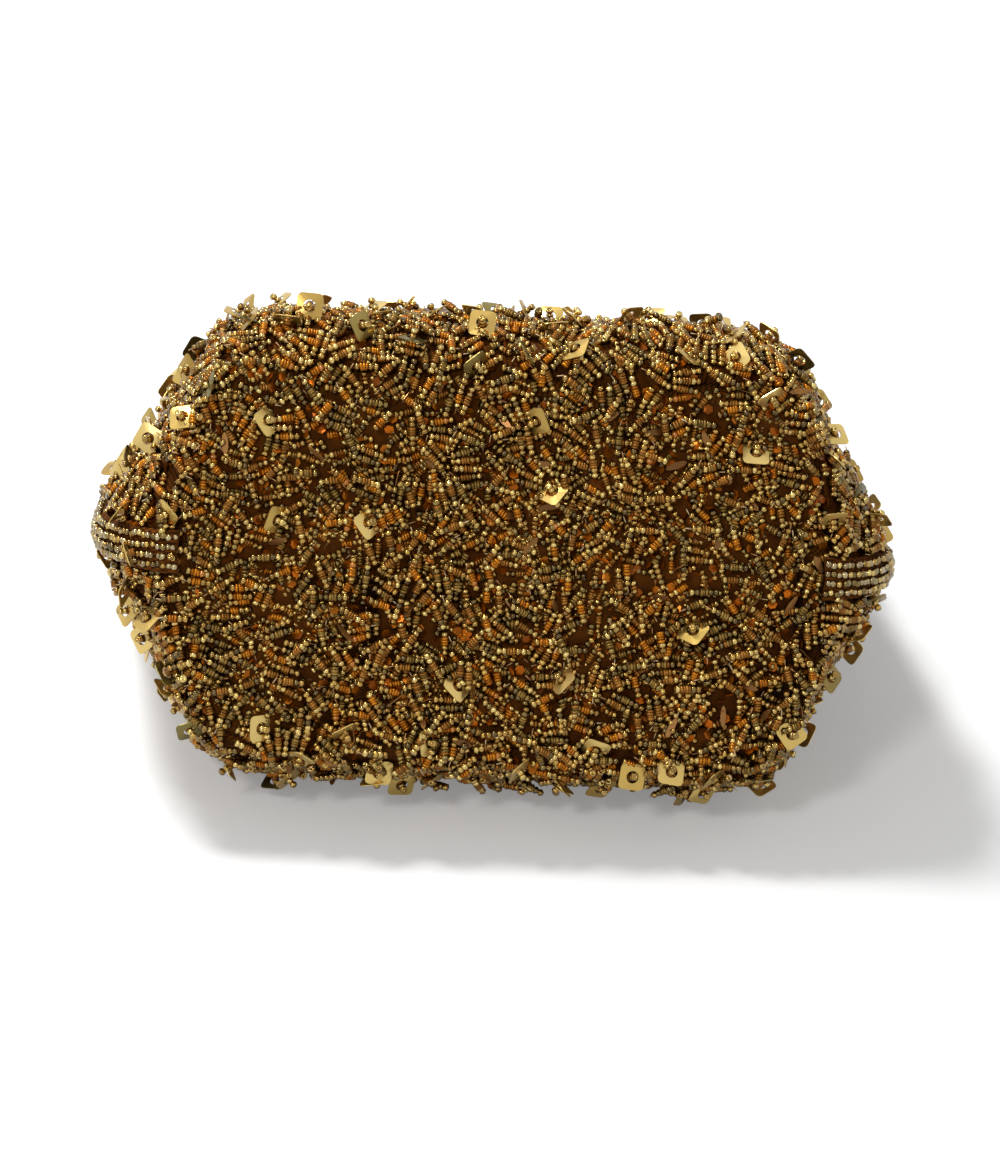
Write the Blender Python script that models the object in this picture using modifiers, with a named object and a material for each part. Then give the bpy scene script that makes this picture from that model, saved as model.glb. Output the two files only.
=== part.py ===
"""Beaded shoulder bag with a boxed bottom, lying on its back panel with the base facing -Y.

Bag space has X across the bag, Y from the base up to the mouth and Z from the back to the front.
A parent empty leans bag space until the flat of the back panel lies on the ground.
"""

import math
import random

import bmesh
import bpy
from mathutils import Matrix, Vector

MM = 0.001

# Base: a rounded oblong with a shallow point at the middle of each short end
BASE_WIDTH = 160 * MM
BASE_FLAT = 151 * MM
BASE_DEPTH = 90 * MM

# Belly: the fullest section, where the round-over from the base ends
BELLY_HEIGHT = 34 * MM
BELLY_WIDTH = 205 * MM
BELLY_FLAT = 136 * MM
BELLY_FRONT = 63 * MM
BELLY_BACK = 61 * MM

# Mouth: a shallow lens held open between the two side seams
MOUTH_HEIGHT = 138 * MM
MOUTH_WIDTH = 198 * MM
MOUTH_FLAT = 160 * MM
MOUTH_FRONT = 15 * MM
MOUTH_BACK = 14 * MM

BASE_RADIUS = 16 * MM
BELLY_RADIUS = 24 * MM
SEAM_RADIUS = 5.5 * MM
FRONT_BLEND = 20 * MM
BACK_BLEND = 7 * MM

# Layers, from the outside in
BEADED_WALL = 3.0 * MM
BOARD_THICKNESS = 1.6 * MM
BOARD_INSET = 6 * MM
LINING_THICKNESS = 0.8 * MM
LINING_DROP = 1.5 * MM
LINING_GAP = 0.5 * MM
GAP = 0.3 * MM

# Rows of small beads couched over each side seam
SEAM_ROWS = 4
SEAM_ROW_PITCH = 2.4 * MM
SEAM_BEAD_HEIGHT = 1.5 * MM
SEAM_BACKING = 0.6 * MM
SEAM_START = 3 * MM
SEAM_MARGIN = 3 * MM
ROW_PROFILE = ((0.42, 0.35), (0.2, 1.0), (-0.2, 1.0), (-0.42, 0.35))
ROW_STEPS = 4

# Magnetic snap
SNAP_RADIUS = 7.5 * MM
SNAP_THICKNESS = 2.2 * MM
SNAP_STUD_RADIUS = 2.6 * MM
SNAP_STUD_LENGTH = 1.8 * MM
SNAP_CLEARANCE = 0.3 * MM
SNAP_EDGE = 0.4 * MM
SNAP_HEIGHT = 121 * MM
SNAP_STEPS = 20

# Strap rings and the tabs that hold them
RING_WIRE = 1.3 * MM
RING_WIDTH = 17 * MM
RING_LENGTH = 13 * MM
RING_CORNER = 3 * MM
RING_CORNER_STEPS = 4
RING_RISE = 6 * MM
RIBBON = 1.0 * MM
LOOP_CLEARANCE = 0.3 * MM
TAB_WIDTH = 11 * MM
TAB_TAIL = 24 * MM
LOOP_STEPS = 14

# Strap, cut on a curve
STRAP_WIDTH = 13 * MM
STRAP_THICKNESS = 2.4 * MM
STRAP_REACH = 88 * MM
STRAP_END = 9 * MM
STRAP_STEPS = 22

# Bead strings and square sequins that stand out from the cloth
STRING_RADIUS = 1.3 * MM
STRING_LENGTH = 8.5 * MM
STRING_SIDES = 4
STRING_ROOT = 0.5 * MM
STRING_ROOM = 2.5 * MM
STRING_REACH = 0.4 * STRING_LENGTH
BASE_LIFT = (4, 12)
PANEL_LIFT = (6, 24)
SQUARE_SIDE = 6.5 * MM
SQUARE_CORNER = 1.1 * MM
SQUARE_THICKNESS = 0.6 * MM
SQUARE_HOLE = 1.6 * MM
SQUARE_HOLE_SIDES = 6
SQUARE_LIFT = 14
SQUARE_ROOT = 0.7 * MM
SQUARE_ROOM = 4.6 * MM
STEM_RADIUS = 0.85 * MM
STEM_LENGTH = 3.6 * MM
SEAM_CLEARANCE = 6 * MM
GROUND_CLEARANCE = 6 * MM
BASE_TRIES = 520
FRONT_TRIES = 1150
BACK_TRIES = 1300
SCATTER_SEED = 11

# Squares: shares across the base and front to back, or up the wall and round it from the right seam
BASE_SQUARES = ((0.57, 0.71), (0.8, 0.34), (0.54, 0.9), (0.13, 0.87), (0.44, 0.16), (0.15, 0.6), (0.88, 0.84))
FRONT_SQUARES = ((0.14, 0.15), (0.15, 0.38), (0.24, 0.43), (0.14, 0.27), (0.5, 0.2), (0.6, 0.34), (0.8, 0.14))
BACK_SQUARES = ((0.13, 0.79), (0.13, 0.7), (0.14, 0.86), (0.14, 0.63))

SHOULDER_STEPS = 3
SEAM_STEPS = 2
FLAT_STEPS = 5
SLOPE_STEPS = 2
ROUND_OVER_STEPS = 5
WALL_STEPS = 6
ROUND_OVER_SHARE = 0.27
RAISED_SHARE = 0.25
NORMAL_STEP = 0.004

LEAN = math.atan((BELLY_BACK - MOUTH_BACK) / (MOUTH_HEIGHT - BELLY_HEIGHT))
GROUND_LIFT = BELLY_BACK * math.cos(LEAN) + BELLY_HEIGHT * math.sin(LEAN)
REST_HEIGHT = 0.5 * (BELLY_HEIGHT + MOUTH_HEIGHT)

# The tabs sit as far out in the mouth's two ends as their thickness lets them
END_ANGLE = math.atan(2 * MOUTH_BACK / (MOUTH_WIDTH - MOUTH_FLAT))
LAYERS = BEADED_WALL + LINING_GAP + LINING_THICKNESS + GAP
TAB_EDGE = MOUTH_WIDTH / 2 - (LAYERS + RIBBON * math.cos(END_ANGLE)) / math.sin(END_ANGLE)
RING_X = TAB_EDGE - TAB_WIDTH / 2


def mix(a, b, t):
    return a + (b - a) * t


def smooth_min(a, b, blend):
    near = max(blend - abs(a - b), 0.0) / blend
    return min(a, b) - near * near * blend / 4


def arc_growth(height):
    """0 at the base's flat, 1 from the belly up, along a quarter ellipse."""
    t = min(max(height / BELLY_HEIGHT, 0.0), 1.0)
    return math.sqrt(1 - (1 - t) ** 2)


def upper_share(height):
    """0 up to the belly, 1 at the mouth."""
    return max(height - BELLY_HEIGHT, 0.0) / (MOUTH_HEIGHT - BELLY_HEIGHT)


def half_width(height):
    lower = mix(BASE_WIDTH, BELLY_WIDTH, arc_growth(height))
    t = upper_share(height)
    return (lower + (MOUTH_WIDTH - BELLY_WIDTH) * t * t) / 2


def half_flat(height):
    lower = mix(BASE_FLAT, BELLY_FLAT, arc_growth(height))
    return (lower + (MOUTH_FLAT - BELLY_FLAT) * upper_share(height)) / 2


def shoulder_radius(height):
    return mix(BASE_RADIUS, BELLY_RADIUS, arc_growth(height))


def panel_depth(height, belly, mouth, blend):
    """Swells from the base to the belly, then runs straight in to the mouth."""
    lower = mix(BASE_DEPTH / 2, belly, arc_growth(height))
    straight = mix(belly, mouth, (height - BELLY_HEIGHT) / (MOUTH_HEIGHT - BELLY_HEIGHT))
    return smooth_min(lower, straight, blend)


def front_depth(height):
    return panel_depth(height, BELLY_FRONT, MOUTH_FRONT, FRONT_BLEND)


def back_depth(height):
    return panel_depth(height, BELLY_BACK, MOUTH_BACK, BACK_BLEND)


def rounded_corner(corner, to_before, to_after, radius, steps):
    """Points of the arc that rounds one corner of an outline, given the directions of its two sides."""
    half_angle = to_before.angle(to_after) / 2
    centre = corner + (to_before + to_after).normalized() * radius / math.sin(half_angle)
    start = corner + to_before * radius / math.tan(half_angle) - centre
    end = corner + to_after * radius / math.tan(half_angle) - centre
    turn = math.atan2(start.x * end.y - start.y * end.x, start.dot(end))
    return [centre + Matrix.Rotation(turn * i / steps, 2) @ start for i in range(steps + 1)]


def section(height, inset=0.0):
    """One level section, counter-clockwise in X and Z from the right seam, as points (x, z).

    An inset moves the whole outline inward, for what lies inside it.
    """
    wide, flat = half_width(height), half_flat(height)
    front, back = front_depth(height), back_depth(height)
    shoulder = shoulder_radius(height)
    corners = [
        (Vector((wide, 0)), SEAM_RADIUS, SEAM_STEPS, SLOPE_STEPS),
        (Vector((flat, front)), shoulder, SHOULDER_STEPS, FLAT_STEPS),
        (Vector((-flat, front)), shoulder, SHOULDER_STEPS, SLOPE_STEPS),
        (Vector((-wide, 0)), SEAM_RADIUS, SEAM_STEPS, SLOPE_STEPS),
        (Vector((-flat, -back)), shoulder, SHOULDER_STEPS, FLAT_STEPS),
        (Vector((flat, -back)), shoulder, SHOULDER_STEPS, SLOPE_STEPS),
    ]
    arcs = []
    for i, (corner, radius, steps, _) in enumerate(corners):
        to_before = (corners[i - 1][0] - corner).normalized()
        to_after = (corners[(i + 1) % len(corners)][0] - corner).normalized()
        half_angle = to_before.angle(to_after) / 2
        inward = (to_before + to_after).normalized() * inset / math.sin(half_angle)
        arcs.append(rounded_corner(corner + inward, to_before, to_after, max(radius - inset, GAP), steps))
    points = []
    for i, arc in enumerate(arcs):
        points.extend(arc)
        following = arcs[(i + 1) % len(arcs)][0]
        for k in range(1, corners[i][3]):
            points.append(arc[-1].lerp(following, k / corners[i][3]))
    return points


def wall_heights():
    """Heights of the wall's sections, closer together where the round-over turns."""
    turns = [math.pi / 2 * i / ROUND_OVER_STEPS for i in range(ROUND_OVER_STEPS + 1)]
    lower = [BELLY_HEIGHT * (1 - math.cos(turn)) for turn in turns]
    upper = [mix(BELLY_HEIGHT, MOUTH_HEIGHT, i / WALL_STEPS) for i in range(1, WALL_STEPS + 1)]
    return lower + upper


def face_outwards(bm):
    bm.normal_update()
    bmesh.ops.recalc_face_normals(bm, faces=bm.faces)


def skin_mesh(depth, lowest, top, closed=False):
    """A skin that lies `depth` inside the bag's own and as far above its base, up to `top`.

    Nothing of it is lower than `lowest`. A closed skin is a solid, and an open one is a surface.
    """
    bm = bmesh.new()
    rings = []
    for height in wall_heights():
        raised = depth * (1 - min(upper_share(height) / RAISED_SHARE, 1.0))
        at = top if height == MOUTH_HEIGHT else max(height + raised, lowest)
        rings.append([bm.verts.new((p.x, at, p.y)) for p in section(height, depth)])
    base = bm.faces.new(rings[0])
    if closed:
        bm.faces.new(rings[-1])
    count = len(rings[0])
    for lower, upper in zip(rings, rings[1:]):
        for k in range(count):
            n = (k + 1) % count
            bm.faces.new((lower[k], lower[n], upper[n], upper[k]))
    face_outwards(bm)
    if base.normal.y > 0:
        bmesh.ops.reverse_faces(bm, faces=bm.faces)
    mesh = bpy.data.meshes.new("skin")
    bm.to_mesh(mesh)
    bm.free()
    return mesh


def material(name, colour, roughness, metallic=0.0):
    made = bpy.data.materials.new(name)
    made.use_nodes = True
    shader = made.node_tree.nodes["Principled BSDF"]
    shader.inputs["Base Color"].default_value = (*colour, 1)
    shader.inputs["Roughness"].default_value = roughness
    shader.inputs["Metallic"].default_value = metallic
    return made


def place(name, mesh, finish, parent):
    made = bpy.data.objects.new(name, mesh)
    parts.objects.link(made)
    made.parent = parent
    if finish:
        mesh.materials.clear()
        mesh.materials.append(finish)
    return made


def boolean(target, other, operation):
    cut = target.modifiers.new(other.name, "BOOLEAN")
    cut.operation = operation
    cut.solver = "EXACT"
    cut.object = other


def cutter(name, mesh, parent):
    made = bpy.data.objects.new(name, mesh)
    cutters.objects.link(made)
    made.parent = parent
    made.hide_render = True
    made.display_type = "WIRE"
    return made


def box_mesh(low, high):
    bm = bmesh.new()
    size = Vector(high) - Vector(low)
    middle = (Vector(high) + Vector(low)) / 2
    bmesh.ops.create_cube(bm, size=1, matrix=Matrix.Translation(middle) @ Matrix.Diagonal((*size, 1)))
    mesh = bpy.data.meshes.new("box")
    bm.to_mesh(mesh)
    bm.free()
    return mesh


def slab_mesh(outline, low, high):
    """A level slab between two heights, from an outline in X and Z."""
    bm = bmesh.new()
    face = bm.faces.new([bm.verts.new((p.x, low, p.y)) for p in outline])
    raised = bmesh.ops.extrude_face_region(bm, geom=[face])["geom"]
    top = [v for v in raised if isinstance(v, bmesh.types.BMVert)]
    bmesh.ops.translate(bm, verts=top, vec=(0, high - low, 0))
    face_outwards(bm)
    mesh = bpy.data.meshes.new("slab")
    bm.to_mesh(mesh)
    bm.free()
    return mesh


def flat_outline(name, outlines, thickness):
    """A flat piece from outlines in X and Y, thickness along Z, as a mesh."""
    curve = bpy.data.curves.new(name, "CURVE")
    curve.dimensions = "2D"
    curve.fill_mode = "BOTH"
    curve.extrude = thickness / 2
    for outline in outlines:
        spline = curve.splines.new("POLY")
        spline.points.add(len(outline) - 1)
        for point, (x, y) in zip(spline.points, outline):
            point.co = (x, y, 0, 1)
        spline.use_cyclic_u = True
    source = bpy.data.objects.new(name, curve)
    bpy.context.scene.collection.objects.link(source)
    bpy.context.view_layer.update()
    mesh = bpy.data.meshes.new_from_object(source.evaluated_get(bpy.context.evaluated_depsgraph_get()))
    bpy.data.objects.remove(source)
    bm = bmesh.new()
    bm.from_mesh(mesh)
    bmesh.ops.remove_doubles(bm, verts=bm.verts, dist=1e-6)
    face_outwards(bm)
    bm.to_mesh(mesh)
    bm.free()
    return mesh


def around(height, share):
    """The point at a share of the way round the section from the right seam."""
    outline = section(height)
    lengths = [(outline[i] - outline[i - 1]).length for i in range(1, len(outline))]
    lengths.append((outline[0] - outline[-1]).length)
    left = share * sum(lengths)
    i = 0
    while left > lengths[i]:
        left -= lengths[i]
        i += 1
    p = outline[i].lerp(outline[(i + 1) % len(outline)], left / lengths[i])
    return Vector((p.x, height, p.y))


def wall_spot(climb, share):
    """A point on the wall and its outward normal, from shares of the way up and round."""
    if climb < ROUND_OVER_SHARE:
        height = BELLY_HEIGHT * (1 - math.cos(math.pi / 2 * climb / ROUND_OVER_SHARE))
    else:
        height = mix(BELLY_HEIGHT, MOUTH_HEIGHT, (climb - ROUND_OVER_SHARE) / (1 - ROUND_OVER_SHARE))
    point = around(height, share)
    beside = around(height, (share + NORMAL_STEP) % 1) - around(height, (share - NORMAL_STEP) % 1)
    rise = around(height + MM, share) - around(max(height - MM, 0), share)
    return point, rise.cross(beside).normalized()


def base_spot(across, deep):
    """A point on the flat of the base and its outward normal, from shares across and front to back."""
    return Vector(((across - 0.5) * BASE_WIDTH, 0, (deep - 0.5) * BASE_DEPTH)), Vector((0, -1, 0))


def seats(spot, keep, squares, tries, seed):
    """Seats of a panel's squares, then of strings clear of them: point, stand, whether square, and lift."""
    rng = random.Random(seed)
    drawn = [(shares, True) for shares in squares]
    drawn += [((rng.random(), rng.random()), False) for _ in range(tries)]
    found, taken = [], []
    for shares, is_square in drawn:
        turn, lift = rng.random(), rng.random()
        point, normal = spot(*shares)
        stand = normal.to_track_quat("Z", "X").to_matrix() @ Matrix.Rotation(2 * math.pi * turn, 3, "Z")
        reach = stand @ Vector((STRING_REACH, 0, 0))
        room = [(point - reach, STRING_ROOM), (point, STRING_ROOM), (point + reach, STRING_ROOM)]
        if is_square:
            room = [(point, SQUARE_ROOM)]
        is_free = all((p - q).length >= a + b for p, a in room for q, b in taken)
        if is_square or (is_free and keep(point)):
            found.append((point, stand.to_4x4(), is_square, lift))
            taken.extend(room)
    return found


def square_mesh():
    """A square sequin with rounded corners and a round hole, flat in X and Y."""
    half = SQUARE_SIDE / 2
    corners = [Vector((half, half)), Vector((-half, half)), Vector((-half, -half)), Vector((half, -half))]
    outline = []
    for i, corner in enumerate(corners):
        to_before = (corners[i - 1] - corner).normalized()
        to_after = (corners[(i + 1) % 4] - corner).normalized()
        outline.extend(rounded_corner(corner, to_before, to_after, SQUARE_CORNER, 1))
    turns = [2 * math.pi * i / SQUARE_HOLE_SIDES for i in range(SQUARE_HOLE_SIDES)]
    hole = [(SQUARE_HOLE * math.cos(turn), SQUARE_HOLE * math.sin(turn)) for turn in turns]
    return flat_outline("square_sequin", [outline, hole], SQUARE_THICKNESS)


def relief(name, found, lifts, parent):
    """Bead strings, and squares each round its own stem, rooted in a panel's skin."""
    bm = bmesh.new()
    square = square_mesh()
    tilt = Matrix.Rotation(math.radians(SQUARE_LIFT), 4, "X")
    for point, stand, is_square, share in found:
        stand = Matrix.Translation(point) @ stand
        if is_square:
            rise = SQUARE_SIDE / 2 * math.sin(math.radians(SQUARE_LIFT)) - SQUARE_ROOT
            plate = square.copy()
            plate.transform(stand @ Matrix.Translation((0, 0, rise)) @ tilt)
            bm.from_mesh(plate)
            radius, length, sides = STEM_RADIUS, STEM_LENGTH, SQUARE_HOLE_SIDES
            seat = stand @ Matrix.Translation((0, 0, STEM_LENGTH / 2 - STRING_RADIUS)) @ tilt
        else:
            radius, length, sides = STRING_RADIUS, STRING_LENGTH, STRING_SIDES
            lift = math.radians(mix(lifts[0], lifts[1], share))
            rise = STRING_LENGTH / 2 * math.sin(lift) - STRING_ROOT
            seat = stand @ Matrix.Translation((0, 0, rise)) @ Matrix.Rotation(math.pi / 2 - lift, 4, "Y")
        bmesh.ops.create_cone(
            bm, cap_ends=True, segments=sides, radius1=radius, radius2=radius, depth=length, matrix=seat
        )
    mesh = bpy.data.meshes.new(name)
    bm.to_mesh(mesh)
    bm.free()
    return cutter(name, mesh, parent)


def inside(point, outline):
    """Whether a point lies inside an outline in X and Z."""
    hit = False
    for i, b in enumerate(outline):
        a = outline[i - 1]
        if (a.y > point.z) != (b.y > point.z):
            if point.x < a.x + (b.x - a.x) * (point.z - a.y) / (b.y - a.y):
                hit = not hit
    return hit


def build_panels(frame):
    """Base, front and back panels: one beaded skin, parted along the base seam and the side seams."""
    beaded = material("beaded_cloth", (0.42, 0.27, 0.11), 0.35, 0.5)
    far = BELLY_WIDTH
    deep = 3 * BEADED_WALL
    half = GAP / 2
    skin = skin_mesh(0, 0, MOUTH_HEIGHT, closed=True)
    hollow = skin_mesh(BEADED_WALL, BEADED_WALL, MOUTH_HEIGHT + BEADED_WALL, closed=True)
    cavity = cutter("cavity", hollow, frame)
    front_half = cutter("front_half", box_mesh((-far, -far, half), (far, far, far)), frame)
    back_half = cutter("back_half", box_mesh((-far, -far, -far), (far, far, -half)), frame)
    base_block = cutter("base_block", slab_mesh(section(0, half), -deep, deep), frame)
    base_hole = cutter("base_hole", slab_mesh(section(0, -half), -deep, deep), frame)
    base_field = section(0, SEAM_CLEARANCE)
    seam_reach = SEAM_ROWS * SEAM_ROW_PITCH / 2 + SEAM_CLEARANCE

    def on_base(point):
        return inside(point, base_field)

    def on_wall(point):
        return SEAM_CLEARANCE < point.y < MOUTH_HEIGHT - SEAM_CLEARANCE

    def on_front(point):
        return on_wall(point) and point.z > seam_reach

    def on_back(point):
        above_ground = (frame.matrix_world @ point).z > GROUND_CLEARANCE
        return on_wall(point) and point.z < -seam_reach and above_ground

    for index, (name, region, operation, spot, keep, squares, tries, lifts) in enumerate((
        ("base_panel", base_block, "INTERSECT", base_spot, on_base, BASE_SQUARES, BASE_TRIES, BASE_LIFT),
        ("front_panel", front_half, "INTERSECT", wall_spot, on_front, FRONT_SQUARES, FRONT_TRIES, PANEL_LIFT),
        ("back_panel", back_half, "INTERSECT", wall_spot, on_back, BACK_SQUARES, BACK_TRIES, PANEL_LIFT),
    )):
        panel = place(name, skin.copy(), beaded, frame)
        boolean(panel, cavity, "DIFFERENCE")
        boolean(panel, region, operation)
        if keep is not on_base:
            boolean(panel, base_hole, "DIFFERENCE")
        found = seats(spot, keep, squares, tries, SCATTER_SEED + index)
        boolean(panel, relief(name + "_beads", found, lifts, frame), "UNION")


def build_inside(frame):
    """Base board on the base panel, and the sewn lining over it."""
    board_low = BEADED_WALL + GAP
    board_high = board_low + BOARD_THICKNESS
    grey_board = material("grey_board", (0.30, 0.27, 0.22), 0.9)
    place("base_board", slab_mesh(section(0, BOARD_INSET), board_low, board_high), grey_board, frame)
    satin = material("lining_satin", (0.34, 0.24, 0.15), 0.6)
    skin = skin_mesh(BEADED_WALL + LINING_GAP, board_high + GAP, MOUTH_HEIGHT - LINING_DROP)
    lining = place("lining", skin, satin, frame)
    layer = lining.modifiers.new("Thickness", "SOLIDIFY")
    layer.thickness = LINING_THICKNESS
    layer.offset = -1
    layer.use_even_offset = True


def seam_profile(height, side):
    """Cross-section of the couched rows at one height: points (x, z) that close around the seam."""
    outline = section(height)
    count = len(outline)
    start = (0 if side > 0 else count // 2) + SEAM_STEPS // 2
    step = side
    reach = SEAM_ROWS * SEAM_ROW_PITCH / 2

    def on_skin(distance, lift):
        """Point at a distance from the seam along the section, positive towards the front."""
        direction = step if distance >= 0 else -step
        left = abs(distance)
        i = start
        while True:
            a, b = outline[i % count], outline[(i + direction) % count]
            length = (b - a).length
            if left <= length:
                along = (b - a).normalized()
                point = a + along * left
                outward = Vector((along.y, -along.x)) * direction
                return point + outward * lift
            left -= length
            i += direction

    inner = [on_skin(reach * t / ROW_STEPS, GAP) for t in range(-ROW_STEPS, ROW_STEPS + 1)]
    outer = []
    for row in range(SEAM_ROWS):
        middle = reach - (row + 0.5) * SEAM_ROW_PITCH
        for share, rise in ROW_PROFILE:
            lift = GAP + SEAM_BACKING + SEAM_BEAD_HEIGHT * rise
            outer.append(on_skin(middle + share * SEAM_ROW_PITCH, lift))
    return inner + outer


def build_seams(frame):
    """Rows of small beads couched side by side over each side seam, as one ribbed strip a side."""
    grey_gold = material("grey_gold_beads", (0.45, 0.38, 0.26), 0.3, 0.6)
    end = MOUTH_HEIGHT - SEAM_MARGIN
    heights = [SEAM_START] + [h for h in wall_heights() if SEAM_START + MM < h < end - MM] + [end]
    for name, side in (("side_seam_right", 1), ("side_seam_left", -1)):
        bm = bmesh.new()
        rings = [[bm.verts.new((p.x, h, p.y)) for p in seam_profile(h, side)] for h in heights]
        count = len(rings[0])
        for lower, upper in zip(rings, rings[1:]):
            for k in range(count):
                n = (k + 1) % count
                bm.faces.new((lower[k], lower[n], upper[n], upper[k]))
        bm.faces.new(rings[0])
        bm.faces.new(rings[-1])
        face_outwards(bm)
        mesh = bpy.data.meshes.new(name)
        bm.to_mesh(mesh)
        bm.free()
        place(name, mesh, grey_gold, frame)


def turned(name, profile, finish, parent, steps):
    """A turned piece about its own Z, from a profile of (radius, z) run down its outer side."""
    mesh = bpy.data.meshes.new(name)
    points = [(radius, 0, z) for radius, z in profile]
    mesh.from_pydata(points, [(i, i + 1) for i in range(len(points) - 1)], [])
    made = place(name, mesh, finish, parent)
    screw = made.modifiers.new("Turn", "SCREW")
    screw.steps = steps
    screw.render_steps = steps
    screw.use_merge_vertices = True
    screw.merge_threshold = 0.00001
    return made


def build_snap(frame):
    """Two halves of a magnetic snap, each on the lining, facing each other across the open mouth."""
    plated = material("plated_snap", (0.62, 0.48, 0.26), 0.25, 1.0)
    hole = SNAP_STUD_RADIUS + SNAP_CLEARANCE
    floor = SNAP_THICKNESS - SNAP_STUD_LENGTH - SNAP_CLEARANCE
    disc_side = [(SNAP_RADIUS - SNAP_EDGE, SNAP_THICKNESS), (SNAP_RADIUS, SNAP_THICKNESS - SNAP_EDGE)]
    disc_side += [(SNAP_RADIUS, 0), (0, 0)]
    socket = [(0, floor), (hole, floor), (hole, SNAP_THICKNESS)] + disc_side
    top = SNAP_THICKNESS + SNAP_STUD_LENGTH
    stud = [(0, top), (SNAP_STUD_RADIUS - SNAP_EDGE, top), (SNAP_STUD_RADIUS, top - SNAP_EDGE)]
    stud += [(SNAP_STUD_RADIUS, SNAP_THICKNESS)] + disc_side
    for name, profile, depth_at, facing in (
        ("snap_socket", socket, front_depth, -1),
        ("snap_stud", stud, back_depth, 1),
    ):
        rise = (depth_at(SNAP_HEIGHT + MM) - depth_at(SNAP_HEIGHT - MM)) / (2 * MM)
        normal = Vector((0, rise, facing)).normalized()
        skin_point = Vector((0, SNAP_HEIGHT, -facing * depth_at(SNAP_HEIGHT)))
        half = turned(name, profile, plated, frame, SNAP_STEPS)
        half.location = skin_point + normal * LAYERS
        half.rotation_euler = normal.to_track_quat("Z", "X").to_euler()


def loop_outline(tail, layers_thickness):
    """Side view of a ribbon folded round a ring bar at the origin: outer outline and hole, tail along -X."""
    inner = RING_WIRE + LOOP_CLEARANCE
    outer = inner + RIBBON
    half = layers_thickness / 2
    leave = math.asin(half / outer)
    outline = []
    for i in range(LOOP_STEPS + 1):
        angle = math.pi - leave - (2 * math.pi - 2 * leave) * i / LOOP_STEPS
        outline.append((outer * math.cos(angle), outer * math.sin(angle)))
    outline.append((-tail, -half))
    outline.append((-tail, half))
    turns = [2 * math.pi * i / LOOP_STEPS for i in range(LOOP_STEPS)]
    hole = [(inner * math.cos(turn), inner * math.sin(turn)) for turn in turns]
    return [outline, hole]


def ring_mesh(name):
    """A closed wire ring in X and Y, its bars at Y 0 and RING_LENGTH."""
    curve = bpy.data.curves.new(name, "CURVE")
    curve.dimensions = "3D"
    curve.bevel_depth = RING_WIRE
    curve.bevel_resolution = 2
    corners = [
        Vector((RING_WIDTH / 2, 0)),
        Vector((RING_WIDTH / 2, RING_LENGTH)),
        Vector((-RING_WIDTH / 2, RING_LENGTH)),
        Vector((-RING_WIDTH / 2, 0)),
    ]
    points = []
    for i, corner in enumerate(corners):
        to_before = (corners[i - 1] - corner).normalized()
        to_after = (corners[(i + 1) % 4] - corner).normalized()
        points.extend(rounded_corner(corner, to_before, to_after, RING_CORNER, RING_CORNER_STEPS))
    spline = curve.splines.new("POLY")
    spline.points.add(len(points) - 1)
    for point, place_at in zip(spline.points, points):
        point.co = (place_at.x, place_at.y, 0, 1)
    spline.use_cyclic_u = True
    source = bpy.data.objects.new(name, curve)
    bpy.context.scene.collection.objects.link(source)
    bpy.context.view_layer.update()
    mesh = bpy.data.meshes.new_from_object(source.evaluated_get(bpy.context.evaluated_depsgraph_get()))
    bpy.data.objects.remove(source)
    bm = bmesh.new()
    bm.from_mesh(mesh)
    bmesh.ops.remove_doubles(bm, verts=bm.verts, dist=1e-6)
    face_outwards(bm)
    bm.to_mesh(mesh)
    bm.free()
    return mesh


def folded_loop(name, tail, width):
    """A folded ribbon as a mesh, its hole along X at the origin and its tail along -Y."""
    mesh = flat_outline(name, loop_outline(tail, 2 * RIBBON), width)
    mesh.transform(Matrix.Rotation(math.pi / 2, 4, "Z") @ Matrix.Rotation(math.pi / 2, 4, "X"))
    return mesh


def strap_outline():
    """The curve-cut strap in X and Y, its two ends at the ring bars."""
    half = STRAP_WIDTH / 2
    outline = []
    for i in range(STRAP_STEPS + 1):
        angle = math.pi * i / STRAP_STEPS
        y = STRAP_END + (STRAP_REACH + half) * math.sin(angle)
        outline.append(((RING_X + half) * math.cos(angle), y))
    start = -RING_WIRE - LOOP_CLEARANCE - RIBBON / 2
    outline += [(-RING_X - half, -start), (-RING_X + half, -start)]
    for i in range(STRAP_STEPS + 1):
        angle = math.pi * (1 - i / STRAP_STEPS)
        y = STRAP_END + (STRAP_REACH - half) * math.sin(angle)
        outline.append(((RING_X - half) * math.cos(angle), y))
    outline += [(RING_X - half, -start), (RING_X + half, -start)]
    return outline


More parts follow.
